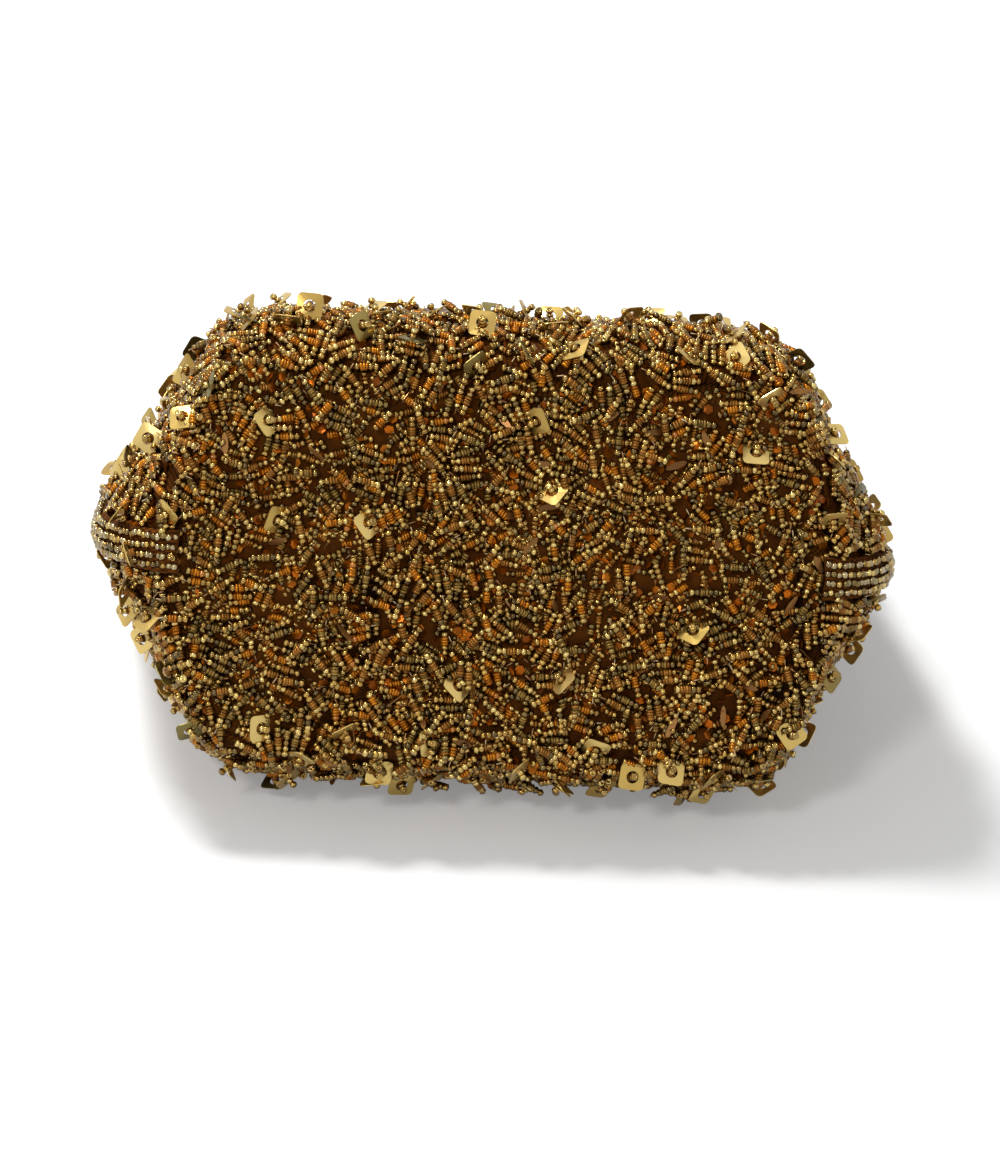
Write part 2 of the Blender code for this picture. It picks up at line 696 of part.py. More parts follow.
def build_strap(frame):
    """Tabs in the mouth's two ends, a ring in each, and the strap looped through both rings."""
    cloth = material("strap_cloth", (0.26, 0.17, 0.10), 0.7)
    metal = material("ring_metal", (0.72, 0.56, 0.30), 0.22, 1.0)
    axis_bag = Vector((0, MOUTH_HEIGHT + RING_RISE, 0))
    axis = frame.matrix_world @ axis_bag
    loop_radius = RING_WIRE + LOOP_CLEARANCE + RIBBON
    ring_droop = math.asin((axis.z - loop_radius) / RING_LENGTH)

    rings = bpy.data.objects.new("ring_axis", None)
    parts.objects.link(rings)
    rings.location = axis
    rings.rotation_euler = (-ring_droop, 0, 0)
    bpy.context.view_layer.update()

    outer_bar = rings.matrix_world @ Vector((0, RING_LENGTH, 0))
    far = STRAP_END + STRAP_REACH + STRAP_WIDTH / 2
    strap_droop = math.asin((outer_bar.z - STRAP_THICKNESS / 2) / far)
    strap_axis = bpy.data.objects.new("strap_axis", None)
    parts.objects.link(strap_axis)
    strap_axis.location = outer_bar
    strap_axis.rotation_euler = (-strap_droop, 0, 0)

    for side, label in ((-1, "left"), (1, "right")):
        tab = place("tab_" + label, folded_loop("tab_" + label, TAB_TAIL, TAB_WIDTH), cloth, frame)
        tab.location = axis_bag + Vector((side * RING_X, 0, 0))
        ring = place("ring_" + label, ring_mesh("ring_" + label), metal, rings)
        ring.location = (side * RING_X, 0, 0)

    strap = place("strap", flat_outline("strap", [strap_outline()], STRAP_THICKNESS), cloth, strap_axis)
    for side, label in ((-1, "left"), (1, "right")):
        mesh = folded_loop("strap_end_" + label, STRAP_END, STRAP_WIDTH - GAP)
        mesh.transform(Matrix.Rotation(math.pi, 4, "Z"))
        end = cutter("strap_end_" + label, mesh, strap_axis)
        end.location = (side * RING_X, 0, 0)
        boolean(strap, end, "UNION")


for old in list(bpy.data.objects):
    bpy.data.objects.remove(old, do_unlink=True)

parts = bpy.data.collections.new("beaded_shoulder_bag")
cutters = bpy.data.collections.new("cutters")
bpy.context.scene.collection.children.link(parts)
bpy.context.scene.collection.children.link(cutters)

bag = bpy.data.objects.new("bag_frame", None)
parts.objects.link(bag)
bag.rotation_euler = (-LEAN, 0, 0)
rest_offset = REST_HEIGHT * math.cos(LEAN) - back_depth(REST_HEIGHT) * math.sin(LEAN)
bag.location = (0, -rest_offset, GROUND_LIFT)
bpy.context.view_layer.update()

build_panels(bag)
build_inside(bag)
build_seams(bag)
build_snap(bag)
build_strap(bag)
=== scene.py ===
import math
import random
from collections import deque

import bmesh
import bpy
from mathutils import Matrix, Vector, noise
from mathutils.bvhtree import BVHTree


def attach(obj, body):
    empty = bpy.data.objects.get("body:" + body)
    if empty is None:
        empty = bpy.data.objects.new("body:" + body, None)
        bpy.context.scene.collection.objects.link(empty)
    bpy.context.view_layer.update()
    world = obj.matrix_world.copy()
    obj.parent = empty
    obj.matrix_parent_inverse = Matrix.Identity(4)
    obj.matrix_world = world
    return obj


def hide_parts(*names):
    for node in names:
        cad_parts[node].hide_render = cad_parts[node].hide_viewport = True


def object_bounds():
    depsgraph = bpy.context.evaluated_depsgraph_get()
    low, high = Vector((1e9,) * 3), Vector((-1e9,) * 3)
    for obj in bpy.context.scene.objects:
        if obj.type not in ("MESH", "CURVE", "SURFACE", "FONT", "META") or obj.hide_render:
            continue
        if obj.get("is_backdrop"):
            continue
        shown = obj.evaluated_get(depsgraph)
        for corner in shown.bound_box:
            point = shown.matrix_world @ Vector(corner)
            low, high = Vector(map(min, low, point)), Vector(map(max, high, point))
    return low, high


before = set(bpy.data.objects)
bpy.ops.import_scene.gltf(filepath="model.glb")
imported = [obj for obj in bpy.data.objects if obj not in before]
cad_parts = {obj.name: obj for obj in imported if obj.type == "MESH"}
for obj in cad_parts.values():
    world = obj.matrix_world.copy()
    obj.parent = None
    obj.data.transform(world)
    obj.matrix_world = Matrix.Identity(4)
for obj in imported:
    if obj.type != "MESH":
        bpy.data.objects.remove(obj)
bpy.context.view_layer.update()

# Ground cloth: brown felted fabric cut as a base, a front and a back panel. The three are sewn together
# round the base and up both sides before the beads are sewn on, and the bag swells to its belly.
MM = 0.001
BASE_WIDTH, BASE_FLAT, BASE_DEPTH = 160 * MM, 151 * MM, 90 * MM
BELLY_HEIGHT, BELLY_WIDTH, BELLY_FLAT = 34 * MM, 205 * MM, 136 * MM
BELLY_FRONT, BELLY_BACK = 63 * MM, 61 * MM
MOUTH_HEIGHT, MOUTH_WIDTH, MOUTH_FLAT = 138 * MM, 198 * MM, 160 * MM
MOUTH_FRONT, MOUTH_BACK = 15 * MM, 14 * MM
BASE_RADIUS, BELLY_RADIUS, SEAM_RADIUS = 16 * MM, 24 * MM, 5.5 * MM
FRONT_BLEND, BACK_BLEND = 20 * MM, 7 * MM
CLOTH_DEPTH, CLOTH_THICKNESS = 3.0 * MM, 0.6 * MM
WRINKLE, WRINKLE_SIZE = 1.2 * MM, 0.03
LEAN = math.atan((BELLY_BACK - MOUTH_BACK) / (MOUTH_HEIGHT - BELLY_HEIGHT))


def mix(a, b, t):
    return a + (b - a) * t


def smooth_min(a, b, blend):
    near = max(blend - abs(a - b), 0.0) / blend
    return min(a, b) - near * near * blend / 4


def growth(height):
    t = min(max(height / BELLY_HEIGHT, 0.0), 1.0)
    return math.sqrt(1 - (1 - t) ** 2)


def upper_share(height):
    return max(height - BELLY_HEIGHT, 0.0) / (MOUTH_HEIGHT - BELLY_HEIGHT)


def half_width(height):
    t = upper_share(height)
    return (mix(BASE_WIDTH, BELLY_WIDTH, growth(height)) + (MOUTH_WIDTH - BELLY_WIDTH) * t * t) / 2


def panel_depth(height, belly, mouth, blend):
    lower = mix(BASE_DEPTH / 2, belly, growth(height))
    straight = mix(belly, mouth, (height - BELLY_HEIGHT) / (MOUTH_HEIGHT - BELLY_HEIGHT))
    return smooth_min(lower, straight, blend)


def front_depth(height):
    return panel_depth(height, BELLY_FRONT, MOUTH_FRONT, FRONT_BLEND)


def back_depth(height):
    return panel_depth(height, BELLY_BACK, MOUTH_BACK, BACK_BLEND)


def rounded_corner(corner, to_before, to_after, radius, steps):
    """Points of the arc that rounds one corner, given the directions of its two sides."""
    half_angle = to_before.angle(to_after) / 2
    centre = corner + (to_before + to_after).normalized() * radius / math.sin(half_angle)
    start = corner + to_before * radius / math.tan(half_angle) - centre
    end = corner + to_after * radius / math.tan(half_angle) - centre
    turn = math.atan2(start.x * end.y - start.y * end.x, start.dot(end))
    return [centre + Matrix.Rotation(turn * i / steps, 2) @ start for i in range(steps + 1)]


def outline(height, inset=0.0):
    """The bag's section at one height from the right seam round, as points (x, z), moved inward by inset."""
    flat = (mix(BASE_FLAT, BELLY_FLAT, growth(height)) + (MOUTH_FLAT - BELLY_FLAT) * upper_share(height)) / 2
    wide, front, back = half_width(height), front_depth(height), back_depth(height)
    shoulder = mix(BASE_RADIUS, BELLY_RADIUS, growth(height))
    corners = [
        (Vector((wide, 0)), SEAM_RADIUS, 4, 8),
        (Vector((flat, front)), shoulder, 8, 32),
        (Vector((-flat, front)), shoulder, 8, 8),
        (Vector((-wide, 0)), SEAM_RADIUS, 4, 8),
        (Vector((-flat, -back)), shoulder, 8, 32),
        (Vector((flat, -back)), shoulder, 8, 8),
    ]
    arcs = []
    for i, (corner, radius, steps, _) in enumerate(corners):
        to_before = (corners[i - 1][0] - corner).normalized()
        to_after = (corners[(i + 1) % 6][0] - corner).normalized()
        half_angle = to_before.angle(to_after) / 2
        moved = corner + (to_before + to_after).normalized() * inset / math.sin(half_angle)
        arcs.append(rounded_corner(moved, to_before, to_after, max(radius - inset, 0.3 * MM), steps))
    points = []
    for i, arc in enumerate(arcs):
        points.extend(arc)
        following = arcs[(i + 1) % 6][0]
        points.extend(arc[-1].lerp(following, k / corners[i][3]) for k in range(1, corners[i][3]))
    return points


half_height = (BELLY_HEIGHT + MOUTH_HEIGHT) / 2
bag_place = Matrix.Translation((
    0,
    back_depth(half_height) * math.sin(LEAN) - half_height * math.cos(LEAN),
    BELLY_BACK * math.cos(LEAN) + BELLY_HEIGHT * math.sin(LEAN),
)) @ Matrix.Rotation(-LEAN, 4, "X")
round_over = [BELLY_HEIGHT * (1 - math.cos(math.pi / 2 * i / 12)) for i in range(13)]
wall_heights = round_over + [mix(BELLY_HEIGHT, MOUTH_HEIGHT, i / 34) for i in range(1, 35)]


def shell(heights, inset, lowest, wrinkle, size):
    """A lofted shell in bag space: sections bridged one to the next and closed at the base.

    Each point also keeps how far round and how far up the cloth it is, for the weave.
    """
    bm = bmesh.new()
    thread = bm.verts.layers.float_vector.new("thread")
    rings = []
    climb, before = 0.0, None
    for height in heights:
        points = outline(height, inset)
        if before:
            climb += (Vector((height, front_depth(height))) - before).length
        before = Vector((height, front_depth(height)))
        verts, around = [], 0.0
        for i, p in enumerate(points):
            if i:
                around += (p - points[i - 1]).length
            v = bm.verts.new((p.x, max(height, lowest), p.y))
            v[thread] = (around, climb, 0)
            verts.append(v)
        rings.append([bm.edges.new((verts[i - 1], verts[i])) for i in range(len(verts))])
    for lower, upper in zip(rings, rings[1:]):
        bmesh.ops.bridge_loops(bm, edges=lower + upper)
    bmesh.ops.contextual_create(bm, geom=rings[0])
    bm.normal_update()
    bmesh.ops.recalc_face_normals(bm, faces=bm.faces)
    for v in bm.verts:
        drift = noise.noise(v.co / size) * wrinkle
        v.co += v.normal * drift
    bm.normal_update()
    return bm


def finished(name, bm, finish, body, place=bag_place, smooth=True):
    """A piece of the bag from its mesh in bag space, with its finish, riding on its body."""
    mesh = bpy.data.meshes.new(name)
    bm.to_mesh(mesh)
    bm.free()
    mesh.transform(place)
    mesh.materials.append(finish)
    mesh.polygons.foreach_set("use_smooth", [smooth] * len(mesh.polygons))
    piece = bpy.data.objects.new(name, mesh)
    bpy.context.scene.collection.objects.link(piece)
    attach(piece, body)
    return piece


def linear(red, green, blue):
    """A colour written as on a screen, 0 to 255, as the light it stands for."""
    parts = [c / 255 for c in (red, green, blue)]
    return (*[c / 12.92 if c < 0.04045 else ((c + 0.055) / 1.055) ** 2.4 for c in parts], 1)


def new_finish(name):
    finish = bpy.data.materials.new(name)
    finish.use_nodes = True
    tree = finish.node_tree
    return finish, tree, tree.nodes["Principled BSDF"]


def colour_ramp(tree, stops, interpolation="LINEAR"):
    ramp = tree.nodes.new("ShaderNodeValToRGB")
    ramp.color_ramp.interpolation = interpolation
    elements = ramp.color_ramp.elements
    while len(elements) < len(stops):
        elements.new(0.5)
    for element, (at, colour) in zip(elements, stops):
        element.position = at
        element.color = colour
    return ramp


def weave_group():
    """Over-and-under threads from how far round and up the cloth a point is, in metres."""
    group = bpy.data.node_groups.new("Woven cloth", "ShaderNodeTree")
    group.interface.new_socket("Thread place", in_out="INPUT", socket_type="NodeSocketVector")
    group.interface.new_socket("Threads per metre", in_out="INPUT", socket_type="NodeSocketFloat")
    group.interface.new_socket("Height", in_out="OUTPUT", socket_type="NodeSocketFloat")
    nodes, links = group.nodes, group.links
    given, made = nodes.new("NodeGroupInput"), nodes.new("NodeGroupOutput")
    scaled = nodes.new("ShaderNodeVectorMath")
    scaled.operation = "SCALE"
    links.new(given.outputs["Thread place"], scaled.inputs[0])
    links.new(given.outputs["Threads per metre"], scaled.inputs["Scale"])
    parts = nodes.new("ShaderNodeSeparateXYZ")
    links.new(scaled.outputs[0], parts.inputs[0])
    waves = []
    for axis in ("X", "Y"):
        turned = nodes.new("ShaderNodeMath")
        turned.operation = "MULTIPLY"
        turned.inputs[1].default_value = math.pi
        links.new(parts.outputs[axis], turned.inputs[0])
        wave = nodes.new("ShaderNodeMath")
        wave.operation = "SINE"
        links.new(turned.outputs[0], wave.inputs[0])
        waves.append(wave)
    crossed = nodes.new("ShaderNodeMath")
    crossed.operation = "MULTIPLY"
    links.new(waves[0].outputs[0], crossed.inputs[0])
    links.new(waves[1].outputs[0], crossed.inputs[1])
    height = nodes.new("ShaderNodeMath")
    height.operation = "MULTIPLY_ADD"
    height.inputs[1].default_value = 0.5
    height.inputs[2].default_value = 0.5
    links.new(crossed.outputs[0], height.inputs[0])
    links.new(height.outputs[0], made.inputs["Height"])
    return group


woven = weave_group()


def cloth_finish(name, dark, light, threads, depth, roughness, sheen):
    """A woven cloth: two shades mottled together, raised threads and a soft sheen."""
    finish, tree, shader = new_finish(name)
    place = tree.nodes.new("ShaderNodeAttribute")
    place.attribute_name = "thread"
    weave = tree.nodes.new("ShaderNodeGroup")
    weave.node_tree = woven
    weave.inputs["Threads per metre"].default_value = threads
    tree.links.new(place.outputs["Vector"], weave.inputs["Thread place"])
    where = tree.nodes.new("ShaderNodeTexCoord")
    mottle = tree.nodes.new("ShaderNodeTexNoise")
    mottle.inputs["Scale"].default_value = 260
    mottle.inputs["Detail"].default_value = 5
    tree.links.new(where.outputs["Object"], mottle.inputs["Vector"])
    both = tree.nodes.new("ShaderNodeMath")
    both.operation = "MULTIPLY"
    tree.links.new(weave.outputs["Height"], both.inputs[0])
    tree.links.new(mottle.outputs["Fac"], both.inputs[1])
    shade = colour_ramp(tree, [(0.05, dark), (0.55, light)])
    tree.links.new(both.outputs[0], shade.inputs["Fac"])
    tree.links.new(shade.outputs["Color"], shader.inputs["Base Color"])
    raised = tree.nodes.new("ShaderNodeBump")
    raised.inputs["Distance"].default_value = depth
    raised.inputs["Strength"].default_value = 0.8
    tree.links.new(weave.outputs["Height"], raised.inputs["Height"])
    tree.links.new(raised.outputs["Normal"], shader.inputs["Normal"])
    shader.inputs["Roughness"].default_value = roughness
    shader.inputs["Sheen Weight"].default_value = sheen
    return finish


ground_finish = cloth_finish(
    "Ground cloth", linear(46, 23, 4), linear(118, 64, 10), 1500, 0.2 * MM, 0.9, 0.0
)


ground_finish.node_tree.nodes["Principled BSDF"].inputs["Specular IOR Level"].default_value = 0.1


def panel_cloth(name, keep, node):
    bm = shell(wall_heights, CLOTH_DEPTH, CLOTH_DEPTH, WRINKLE, WRINKLE_SIZE)
    strays = [f for f in bm.faces if not keep(f)]
    bmesh.ops.delete(bm, geom=strays, context="FACES")
    piece = finished(name, bm, ground_finish, "bag")
    layer = piece.modifiers.new("Thickness", "SOLIDIFY")
    layer.thickness = CLOTH_THICKNESS
    layer.offset = -1
    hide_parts(node)
    return piece


def is_base_face(f):
    return len(f.verts) > 4 or f.calc_center_median().y < CLOTH_DEPTH + 0.3 * MM


panel_cloth("base_cloth", is_base_face, "base_panel")
panel_cloth("front_cloth", lambda f: not is_base_face(f) and f.calc_center_median().z > 0, "front_panel")
panel_cloth("back_cloth", lambda f: not is_base_face(f) and f.calc_center_median().z < 0, "back_panel")

# Bottom board: a stiff grey card that keeps the boxed bottom flat. It lies loose on the base panel,
# inside the lining, and its edge shows the pressed fibres.
board_finish, tree, shader = new_finish("Pressed card")
where = tree.nodes.new("ShaderNodeTexCoord")
fibre = tree.nodes.new("ShaderNodeTexNoise")
fibre.inputs["Scale"].default_value = 900
fibre.inputs["Detail"].default_value = 6
tree.links.new(where.outputs["Object"], fibre.inputs["Vector"])
shade = colour_ramp(tree, [(0.35, linear(92, 86, 76)), (0.65, linear(150, 143, 130))])
tree.links.new(fibre.outputs["Fac"], shade.inputs["Fac"])
tree.links.new(shade.outputs["Color"], shader.inputs["Base Color"])
raised = tree.nodes.new("ShaderNodeBump")
raised.inputs["Distance"].default_value = 0.1 * MM
tree.links.new(fibre.outputs["Fac"], raised.inputs["Height"])
tree.links.new(raised.outputs["Normal"], shader.inputs["Normal"])
shader.inputs["Roughness"].default_value = 0.95
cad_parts["base_board"].data.materials.clear()
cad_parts["base_board"].data.materials.append(board_finish)

# Lining: brown satin, cut a little full so that it puckers, dropped inside the panels over the board
# and sewn to them all round just under the mouth.
LINING_DEPTH, LINING_THICKNESS, LINING_DROP = 3.9 * MM, 0.5 * MM, 1.5 * MM
BOARD_TOP = 5.2 * MM
satin = cloth_finish("Lining satin", linear(92, 62, 40), linear(142, 102, 70), 4000, 0.04 * MM, 0.38, 0.4)
lining_heights = [h for h in wall_heights[::2] if h < MOUTH_HEIGHT - LINING_DROP - MM] + [MOUTH_HEIGHT - LINING_DROP]
bm = shell(lining_heights, LINING_DEPTH, BOARD_TOP, 0, 0.02)
for v in bm.verts:
    free = min(1.0, (MOUTH_HEIGHT - v.co.y) / (12 * MM))
    pucker = abs(noise.noise(Vector((v.co.x * 60, v.co.y * 22, v.co.z * 60)))) * 3.2 * MM
    v.co -= v.normal * pucker * free
lining = finished("lining_satin", bm, satin, "bag")
layer = lining.modifiers.new("Thickness", "SOLIDIFY")
layer.thickness = LINING_THICKNESS
layer.offset = -1
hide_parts("lining")

# Mouth binding: a narrow bias strip of the lining satin rolled over the raw edges of panels and lining
# and felled down, so that the mouth ends in a soft round edge.
BINDING_RADIUS = 1.7 * MM


def swept_loop(name, points, radius, sides):
    """A closed round roll along points, as a mesh made from a bevelled curve."""
    curve = bpy.data.curves.new(name, "CURVE")
    curve.dimensions = "3D"
    curve.bevel_depth = radius
    curve.bevel_resolution = sides
    spline = curve.splines.new("POLY")
    spline.points.add(len(points) - 1)
    for knot, p in zip(spline.points, points):
        knot.co = (*p, 1)
    spline.use_cyclic_u = True
    source = bpy.data.objects.new(name, curve)
    bpy.context.scene.collection.objects.link(source)
    bpy.context.view_layer.update()
    mesh = bpy.data.meshes.new_from_object(source.evaluated_get(bpy.context.evaluated_depsgraph_get()))
    bpy.data.objects.remove(source)
    bm = bmesh.new()
    bm.from_mesh(mesh)
    bpy.data.meshes.remove(mesh)
    bmesh.ops.remove_doubles(bm, verts=bm.verts, dist=1e-6)
    bm.normal_update()
    bmesh.ops.recalc_face_normals(bm, faces=bm.faces)
    return bm


edge_line = [(p.x, MOUTH_HEIGHT - 0.9 * MM, p.y) for p in outline(MOUTH_HEIGHT, 3.2 * MM)]
bm = swept_loop("mouth_binding", edge_line, BINDING_RADIUS, 4)
thread = bm.verts.layers.float_vector.new("thread")
for v in bm.verts:
    v[thread] = (v.co.x + v.co.z, v.co.y, 0)
finished("mouth_binding", bm, satin, "bag")

# Bead strings: a waxed thread with two lined glass beads, a few thin copper discs and two beads again, sewn
# down at its root. Strings lie combed side by side, tips over the next roots, until they hide the cloth.
# Each panel is beaded on its own before the panels are joined.
BEAD_RADIUS, BEAD_LENGTH, BEAD_HOLE = 1.04 * MM, 1.4 * MM, 0.4 * MM
DISC_RADIUS, DISC_LENGTH = 1.14 * MM, 0.58 * MM
BEAD_SEAT = 1.9 * MM


def turned_shape(name, profile, sides):
    """A small turned shape about its own Z from a profile of (radius, z), its open ends filled."""
    bm = bmesh.new()
    bm.verts.layers.float.new("tint")
    verts = [bm.verts.new((radius, 0, z)) for radius, z in profile]
    edges = [bm.edges.new(pair) for pair in zip(verts, verts[1:])]
    bmesh.ops.spin(
        bm, geom=verts + edges, axis=(0, 0, 1), cent=(0, 0, 0), angle=2 * math.pi, steps=sides, use_merge=True
    )
    bmesh.ops.holes_fill(bm, edges=[e for e in bm.edges if e.is_boundary])
    bm.normal_update()
    bmesh.ops.recalc_face_normals(bm, faces=bm.faces)
    mesh = bpy.data.meshes.new(name)
    bm.to_mesh(mesh)
    bm.free()
    return mesh


def barrel(radius, length):
    """Side of a bead or disc that is widest in the middle."""
    return [(0.66 * radius, -length / 2), (radius, 0), (0.66 * radius, length / 2)]


def straight(radius, length):
    """Side of a bead or disc that is as wide at its ends."""
    return [(0.94 * radius, -length / 2), (0.94 * radius, length / 2)]


end_side = [
    (0.6 * BEAD_RADIUS, -0.5 * BEAD_LENGTH),
    (BEAD_RADIUS, 0),
    (0.7 * BEAD_RADIUS, 0.5 * BEAD_LENGTH),
    (BEAD_HOLE, 0.2 * BEAD_LENGTH),
]
near_shapes = {
    "bead": turned_shape("bead", barrel(BEAD_RADIUS, BEAD_LENGTH), 6),
    "end": turned_shape("end_bead", end_side, 6),
    "disc": turned_shape("disc", straight(DISC_RADIUS, DISC_LENGTH), 6),
}
far_shapes = {
    "bead": turned_shape("far_bead", straight(BEAD_RADIUS, BEAD_LENGTH), 5),
    "end": turned_shape("far_end_bead", straight(BEAD_RADIUS, BEAD_LENGTH), 5),
    "disc": turned_shape("far_disc", straight(DISC_RADIUS, DISC_LENGTH), 5),
}

# strings by how often each turns up; a kind is its shape and the span of tints it takes from the finish
LENGTHS = {"bead": BEAD_LENGTH, "disc": DISC_LENGTH + 0.08 * MM}
CHAMPAGNE, OLIVE, ORANGE = ("bead", 0.0, 0.45), ("bead", 0.5, 0.8), ("bead", 0.92, 0.98)
AMBER, COPPER, TAN = ("disc", 0.0, 0.35), ("disc", 0.4, 0.7), ("disc", 0.75, 1.0)
STRINGS = [
    ([CHAMPAGNE, CHAMPAGNE, COPPER, COPPER, COPPER, CHAMPAGNE, CHAMPAGNE], 10),
    ([CHAMPAGNE, OLIVE, COPPER, COPPER, COPPER, COPPER, CHAMPAGNE], 6),
    ([OLIVE, OLIVE, TAN, TAN, TAN, OLIVE, CHAMPAGNE], 8),
    ([CHAMPAGNE, CHAMPAGNE, AMBER, AMBER, AMBER, CHAMPAGNE], 6),
    ([OLIVE, CHAMPAGNE, TAN, TAN, COPPER, OLIVE], 4),
    ([CHAMPAGNE, CHAMPAGNE, CHAMPAGNE, OLIVE, CHAMPAGNE], 3),
    ([CHAMPAGNE, ORANGE, AMBER, AMBER, AMBER, CHAMPAGNE], 1),
    ([AMBER, AMBER, AMBER, AMBER, CHAMPAGNE, CHAMPAGNE], 3),
]
SHORT_STRINGS = [([CHAMPAGNE, COPPER, CHAMPAGNE], 3), ([OLIVE, TAN, TAN], 2), ([CHAMPAGNE, OLIVE], 2)]


def tinted_mesh():
    bm = bmesh.new()
    bm.verts.layers.float.new("tint")
    return bm


def sew(bm, shape, seat, tint):
    """One copy of a shape added to a panel's mesh at its seat, all of one tint."""
    copy = shape.copy()
    copy.transform(seat)
    copy.attributes["tint"].data.foreach_set("value", [tint] * len(copy.vertices))
    bm.from_mesh(copy)
    bpy.data.meshes.remove(copy)


KINDS = ("beads", "discs", "sequins", "squares", "threads")
PANELS = ("base", "front_left", "front_right", "back_left", "back_right")
panels = {panel: {kind: tinted_mesh() for kind in KINDS} for panel in PANELS}


def panel_at(p):
    if p.y < BEAD_SEAT + 0.4 * MM:
        return panels["base"]
    return panels[("front" if p.z > 0 else "back") + ("_left" if p.x < 0 else "_right")]


class Room:
    """Which spots of one layer are taken, in cells of its clearance."""

    def __init__(self, clear):
        self.clear = clear
        self.cells = {}

    def cell(self, p):
        return tuple(math.floor(c / self.clear) for c in p)

    def free(self, p):
        x, y, z = self.cell(p)
        for i in (x - 1, x, x + 1):
            for j in (y - 1, y, y + 1):
                for k in (z - 1, z, z + 1):
                    for other in self.cells.get((i, j, k), ()):
                        if (other - p).length < self.clear:
                            return False
        return True

    def take(self, p):
        self.cells.setdefault(self.cell(p), []).append(p)


seat_shell = shell(wall_heights, BEAD_SEAT, BEAD_SEAT, WRINKLE, WRINKLE_SIZE)
bmesh.ops.triangulate(seat_shell, faces=seat_shell.faces)
seat_tree = BVHTree.FromBMesh(seat_shell)
seat_faces = [([v.co.copy() for v in f.verts], f.normal.copy()) for f in seat_shell.faces]
seat_sums, total = [], 0.0
for f in seat_shell.faces:
    total += f.calc_area()
    seat_sums.append(total)
seat_shell.free()
rng = random.Random(5)
bag_turn = bag_place.to_3x3()


def random_seat():
    """A point anywhere on the cloth, each part as likely as its area, with the cloth's normal there."""
    corners, normal = rng.choices(seat_faces, cum_weights=seat_sums)[0]
    a, b = math.sqrt(rng.random()), rng.random()
    return corners[0] * (1 - a) + corners[1] * (a * (1 - b)) + corners[2] * (a * b), normal


def seat_beside(p):
    point, normal, _, _ = seat_tree.find_nearest(p)
    return point, normal


def clear_of_seams(p):
    on_base = p.y < BEAD_SEAT + 0.4 * MM
    past_rows = math.hypot(abs(p.x) - half_width(p.y), p.z) > 6.0 * MM
    return (on_base or past_rows) and p.y < MOUTH_HEIGHT - 2.5 * MM


def off_ground(p):
    return (bag_place @ p).z


WANDER_SIZE, COMB_AXIS = 55 * MM, Vector((0.31, 0.52, 0.79))


def is_near(p):
    """Whether a spot shows from the front: the base, the round-over above it and the two ends."""
    return p.y < 40 * MM and off_ground(p) > 9 * MM


def combed(point, normal, turn):
    """A direction along the cloth that wanders slowly over the bag, turned by a tuft's own turn."""
    wander = 4.5 * noise.noise(point / WANDER_SIZE)
    across = normal.cross(COMB_AXIS).normalized()
    return Matrix.Rotation(wander + turn, 3, normal) @ across


def draw(choices):
    return rng.choices([choice for choice, _ in choices], [weight for _, weight in choices])[0]


def length_of(string):
    return sum(LENGTHS[shape] for shape, _, _ in string)


def spots(string, centre, along):
    """Where each bead and disc of a string sits when the string is centred at a point."""
    at, found = -length_of(string) / 2, []
    for shape, _, _ in string:
        found.append(centre + along * (at + LENGTHS[shape] / 2))
        at += LENGTHS[shape]
    return found


def turned_to(direction):
    return direction.to_track_quat("Z", "X").to_matrix().to_4x4() @ Matrix.Rotation(rng.uniform(0, 6.28), 4, "Z")


def wobble(spread):
    return Vector((rng.gauss(0, spread), rng.gauss(0, spread), rng.gauss(0, spread)))


# Thread stubs at the tips of some strings: real thread, with tints from pale cream to brown. The pale cream stands in
# for glints on the thread, so it is a painted highlight.
glint_thread_stub = turned_shape("glint_thread_stub", [(0.17 * MM, -0.9 * MM), (0.14 * MM, 0.9 * MM)], 4)
GLINT_STUB_SHARE = 0.4


def sew_string(string, centre, along, near):
    """A string's beads and discs, each a little askew on the thread, kept above the ground."""
    panel = panel_at(centre)
    shapes = near_shapes if near else far_shapes
    places = spots(string, centre, along)
    for i, ((shape, low, high), p) in enumerate(zip(string, places)):
        facing = bag_turn @ (along + wobble(0.07)) * (-1 if i == 0 else 1)
        placed = bag_place @ p
        placed.z = max(placed.z, DISC_RADIUS + 0.05 * MM)
        size = rng.uniform(0.92, 1.08)
        seat = Matrix.Translation(placed) @ turned_to(facing) @ Matrix.Diagonal((size, size, 1, 1))
        kind = "end" if shape == "bead" and i in (0, len(string) - 1) else shape
        sew(panel["beads" if shape == "bead" else "discs"], shapes[kind], seat, rng.uniform(low, high))
    # some near strings end in a thread stub; its pale cream tints are a painted highlight
    if near and rng.random() < GLINT_STUB_SHARE:
        tip = bag_place @ (places[-1] + along * 1.3 * MM)
        seat = Matrix.Translation(tip) @ turned_to(bag_turn @ (along + wobble(0.5)))
        sew(panel["threads"], glint_thread_stub, seat, rng.random())


